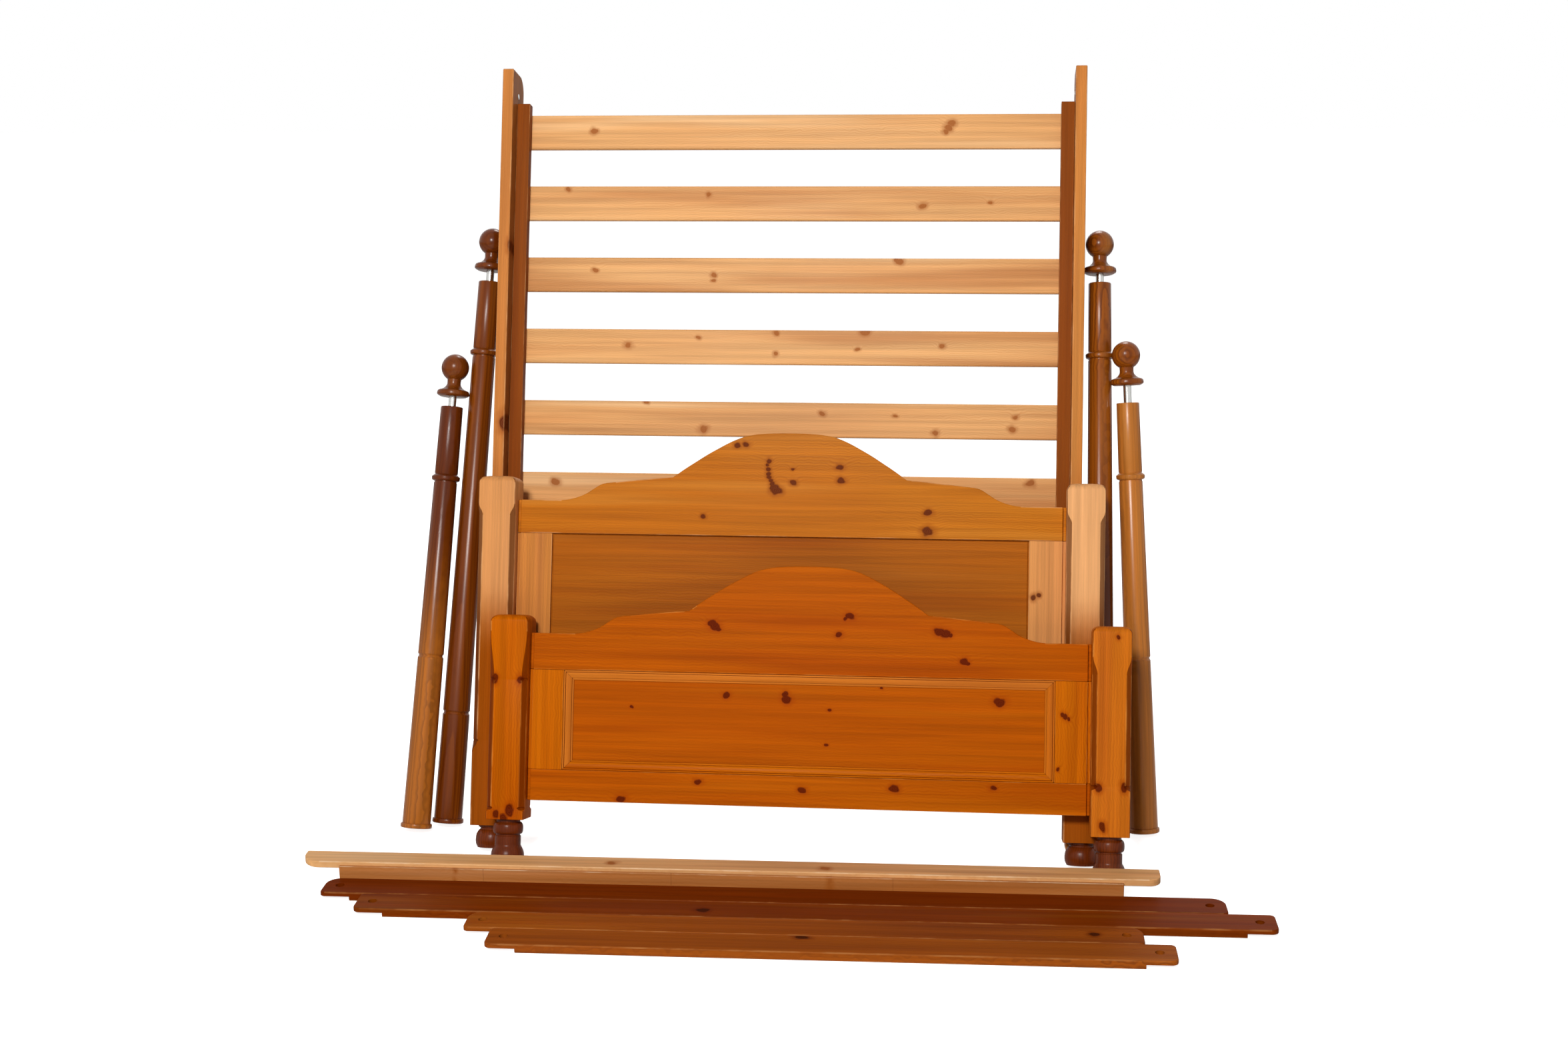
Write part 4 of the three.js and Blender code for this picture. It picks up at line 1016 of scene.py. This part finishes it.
# Loose upper posts
def upper_outline(length):
    """Tapered shaft with a rim at its foot, a turned groove and a ring near its top."""
    def shaft(z):
        return UPPER_BOTTOM_R + (UPPER_TOP_R - UPPER_BOTTOM_R) * z / length

    ring = length - UPPER_RING_DROP
    groove = LONG_GROOVE_RISE if length > SHORT_POST else SHORT_GROOVE_RISE
    half = UPPER_RING_H / 2
    rim = smooth([
        (UPPER_RIM_R - 2, 0), (UPPER_RIM_R, 2), (UPPER_RIM_R, UPPER_RIM_H - 3),
        (UPPER_RIM_R - 1.4, UPPER_RIM_H - 0.6),
    ], 3)
    bead = smooth([
        (UPPER_RING_R - 2, ring - half + 3), (UPPER_RING_R - 0.3, ring - half + 5.5),
        (UPPER_RING_R, ring - 1), (UPPER_RING_R - 0.3, ring + half - 9),
        (shaft(ring) + 1, ring + half - 5),
    ], 4)
    return [
        *rim, (shaft(UPPER_RIM_H) - 0.6, UPPER_RIM_H), (shaft(UPPER_RIM_H), UPPER_RIM_H + 3),
        (shaft(groove), groove - 5), (shaft(groove) - 1.6, groove - 3), (shaft(groove) - 2.8, groove),
        (shaft(groove) - 1.6, groove + 3), (shaft(groove), groove + 5),
        (shaft(ring), ring - half - 4), (shaft(ring) - 1.2, ring - half - 1),
        (shaft(ring) - 1.2, ring - half + 1),
        *bead, (shaft(ring) - 1.2, ring + half - 3), (shaft(ring), ring + half),
        (UPPER_TOP_R, length - 2), (UPPER_TOP_R - 0.6, length - 0.6), (UPPER_TOP_R - 2, length),
    ]


def finial_outline():
    """Flange, neck and ball."""
    steps = 32
    start = math.pi - math.asin(FINIAL_NECK_R / BALL_R)
    ball = []
    for k in range(steps):
        angle = start * (1 - k / steps)
        ball.append((BALL_R * math.sin(angle), BALL_RISE + BALL_R * math.cos(angle)))
    flange = smooth([
        (FLANGE_R - 8, 0), (FLANGE_R - 1, 4), (FLANGE_R, 8), (FLANGE_R - 2, FLANGE_H - 5),
        (FLANGE_R - 12, FLANGE_H - 1),
    ], 4)
    neck = smooth([
        (FLANGE_R - 12, FLANGE_H - 1), (FINIAL_NECK_R + 5, FLANGE_H + 4), (FINIAL_NECK_R, FLANGE_H + 12),
        ball[0],
    ], 5)
    return [*flange[:-1], *neck[:-1], *ball, (0, BALL_RISE + BALL_R)]


def upper_posts():
    axes = {joint["child"]: Vector(joint["axis"]).normalized() for joint in frame["joints"]}
    for place, (length, exposed) in UPPER.items():
        body = f"lifting_{place}"
        axis = axes[body]
        turn = Vector((0, 0, 1)).rotation_difference(axis).to_matrix().to_4x4()
        bore_floor = length - BORE_DEPTH
        seat = length + exposed
        pin_low = bore_floor + GAP
        pin_high = seat + PIN_SOCKET - GAP
        stand = frame_at(turn, f"pin_{place}", (0, 0, (pin_low + pin_high) / 2))
        bore = PIN_R + HOLE_CLEARANCE
        shaft = lathe([
            (0, 0), *upper_outline(length), (bore + 1, length), (bore, length - 1), (bore, bore_floor),
            (0, bore_floor),
        ])
        piece(f"upper_post_{place}", shaft, stand, "walnutStain")
        pin = lathe([
            (0, pin_low), (PIN_R - 1.5, pin_low), (PIN_R, pin_low + 1.5), (PIN_R, pin_high), (0, pin_high),
        ])
        piece(f"pin_{place}", pin, stand, "steel", body=body)
        finial = lathe([
            (0, PIN_SOCKET), (PIN_R + GAP, PIN_SOCKET), (PIN_R + GAP, 0), *finial_outline(),
        ])
        finial.transform(Matrix.Translation((0, 0, seat)))
        piece(f"finial_{place}", finial, stand, "walnutStain", body=body)


# Pile on the floor
def pile():
    turn = Matrix.Rotation(PILE_TURN, 4, "Z")
    batten_near = CANOPY_W + GAP
    batten_x = CENTRE_START + BATTEN_INSET
    batten_mid = (batten_x + BATTEN_L / 2, batten_near + BATTEN_W / 2, BATTEN_H / 2)
    flat = frame_at(turn, "centre_rail_batten", batten_mid)
    for name, x, row, length, far_r, near_r in CANOPY:
        y = -row * (CANOPY_W + GAP)
        outline = rounded(x, x + length, y, y + CANOPY_W, (near_r, near_r, far_r, far_r))
        rail = prism(outline, "z", 0, CANOPY_T)
        tools = []
        across = (y - CUT_OVER, y + CANOPY_W + CUT_OVER)
        for start in (x - CUT_OVER, x + length - LAP_L):
            tools.append(block(start, start + LAP_L + CUT_OVER, *across, -CUT_OVER, CANOPY_T / 2))
        for hole_x in (x + LAP_HOLE_INSET, x + length - LAP_HOLE_INSET):
            r = PIN_R + HOLE_CLEARANCE
            top = CANOPY_T + CUT_OVER
            hole = lathe([(0, -CUT_OVER), (r, -CUT_OVER), (r, top), (0, top)], 48)
            hole.transform(Matrix.Translation((hole_x, y + CANOPY_W / 2, 0)))
            tools.append(hole)
        piece(name, rail, flat, "darkPine", grain=LYING_FLAT, bevel=3, cutters=tools)
    rebate = BATTEN_H - BATTEN_LIP_H
    section = [
        (0, 0), (BATTEN_W, 0), (BATTEN_W, rebate), (BATTEN_LIP, rebate), (BATTEN_LIP, BATTEN_H),
        (0, BATTEN_H),
    ]
    section = [(u + batten_near, v) for u, v in section]
    cuts = []
    for place in BATTEN_JOINTS:
        at = batten_x + place
        along = (at - SAW_W / 2, at + SAW_W / 2)
        front = batten_near - CUT_OVER
        over = BATTEN_H + CUT_OVER
        cuts.append(block(*along, front, batten_near + SAW_DEEP, -CUT_OVER, over))
        cuts.append(block(*along, front, batten_near + BATTEN_LIP + CUT_OVER, BATTEN_H - SAW_DEEP, over))
    batten = prism(section, "x", batten_x, batten_x + BATTEN_L)
    piece("centre_rail_batten", batten, flat, "palePine", grain=LYING_FLAT, bevel=1.6, cutters=cuts)
    near = batten_near + BATTEN_LIP + GAP
    outline = rounded(
        CENTRE_START, CENTRE_START + CENTRE_L, near, near + CENTRE_W, (CENTRE_LEFT_R, CENTRE_RIGHT_R, 4, 4),
    )
    centre = prism(outline, "z", rebate + GAP, rebate + GAP + CENTRE_T)
    piece("centre_rail", centre, flat, "palePine", grain=LYING_FLAT, bevel=2.4)


slatted_base()
make_board("head")
make_board("foot")
upper_posts()
pile()


# Camera at the photograph's place: heading, pitch and roll of a level view
CAMERA_AT = Vector((0.50327, -4.894785, 2.031))
HEADING = math.radians(5.918)
PITCH = math.radians(13.7249)
ROLL = math.radians(-0.5312)
FOCAL_PX = 3200
FRAME_PX = 2352
SENSOR_MM = 36
ahead = Vector((
    -math.sin(HEADING) * math.cos(PITCH),
    math.cos(HEADING) * math.cos(PITCH),
    -math.sin(PITCH),
))
level = Vector((math.cos(HEADING), math.sin(HEADING), 0))
over = level.cross(ahead)
right = level * math.cos(ROLL) + over * math.sin(ROLL)
up = over * math.cos(ROLL) - level * math.sin(ROLL)
camera_data = bpy.data.cameras.new("camera")
camera_data.sensor_width = SENSOR_MM
camera_data.lens = FOCAL_PX / FRAME_PX * SENSOR_MM
camera = bpy.data.objects.new("camera", camera_data)
turn = Matrix((right, up, -ahead)).transposed().to_4x4()
camera.matrix_world = Matrix.Translation(CAMERA_AT) @ turn
bpy.context.scene.collection.objects.link(camera)
bpy.context.scene.camera = camera

# Floor: pale, white where the light falls on it, with the shadow of the object
FLOOR_TONE = 0.9
FLOOR_GLOW = 0.88
FLOOR_HALF = 30
FLOOR_HEIGHT = -0.0005
floor_material = bpy.data.materials.new("floor")
n = Nodes(floor_material)
path = n.add("ShaderNodeLightPath")
diffuse = n.add("ShaderNodeBsdfDiffuse", {"Color": (FLOOR_TONE, FLOOR_TONE, FLOOR_TONE, 1)})
seen = n.math("MULTIPLY", path.outputs["Is Camera Ray"], FLOOR_GLOW)
glow = n.add("ShaderNodeEmission", {"Color": (1, 1, 1, 1), "Strength": seen})
total = n.add("ShaderNodeAddShader", {0: diffuse.outputs[0], 1: glow.outputs[0]})
n.add("ShaderNodeOutputMaterial", {"Surface": total.outputs[0]})
floor_bm = bmesh.new()
corners = [(a * FLOOR_HALF, b * FLOOR_HALF, FLOOR_HEIGHT) for a, b in [(-1, -1), (1, -1), (1, 1), (-1, 1)]]
floor_bm.faces.new([floor_bm.verts.new(corner) for corner in corners])
floor_mesh = bpy.data.meshes.new("floor")
floor_bm.to_mesh(floor_mesh)
floor_bm.free()
floor_mesh.materials.append(floor_material)
floor = bpy.data.objects.new("floor", floor_mesh)
bpy.context.scene.collection.objects.link(floor)

# World: soft light all round, white where the camera or a gloss sees it
AMBIENT = 0.17
world = bpy.data.worlds.new("world")
bpy.context.scene.world = world
n = Nodes(world)
path = n.add("ShaderNodeLightPath")
direct = n.math("MAXIMUM", path.outputs["Is Camera Ray"], path.outputs["Is Transmission Ray"])
direct = n.math("MAXIMUM", direct, path.outputs["Is Glossy Ray"])
strength = n.math("MULTIPLY_ADD", direct, 1 - AMBIENT, AMBIENT)
sky = n.add("ShaderNodeBackground", {"Color": (1, 1, 1, 1), "Strength": strength})
n.add("ShaderNodeOutputWorld", {"Surface": sky.outputs[0]})


# Lamps: place, what they point at, width, height, power and colour
def lamp(name, place, target, width, height, power, color=(1, 1, 1)):
    data = bpy.data.lights.new(name, "AREA")
    data.shape = "RECTANGLE"
    data.size = width
    data.size_y = height
    data.energy = power
    data.color = color
    obj = bpy.data.objects.new(name, data)
    obj.location = place
    obj.rotation_euler = (Vector(target) - Vector(place)).to_track_quat("-Z", "Y").to_euler()
    bpy.context.scene.collection.objects.link(obj)


WARM_WHITE = (1.0, 0.985, 0.96)
lamp("key", (-0.7, -5.9, 4.5), (0, 0, 0.8), 1.3, 1.0, 375, WARM_WHITE)
lamp("rear", (0.4, 5.2, 6.4), (0, 0.3, 0.8), 2.4, 1.6, 200, WARM_WHITE)
lamp("strip", (-0.47, -4.7, 3.6), (0, 0.35, 1.3), 0.08, 2.6, 26)

bpy.context.scene.view_settings.view_transform = "Standard"
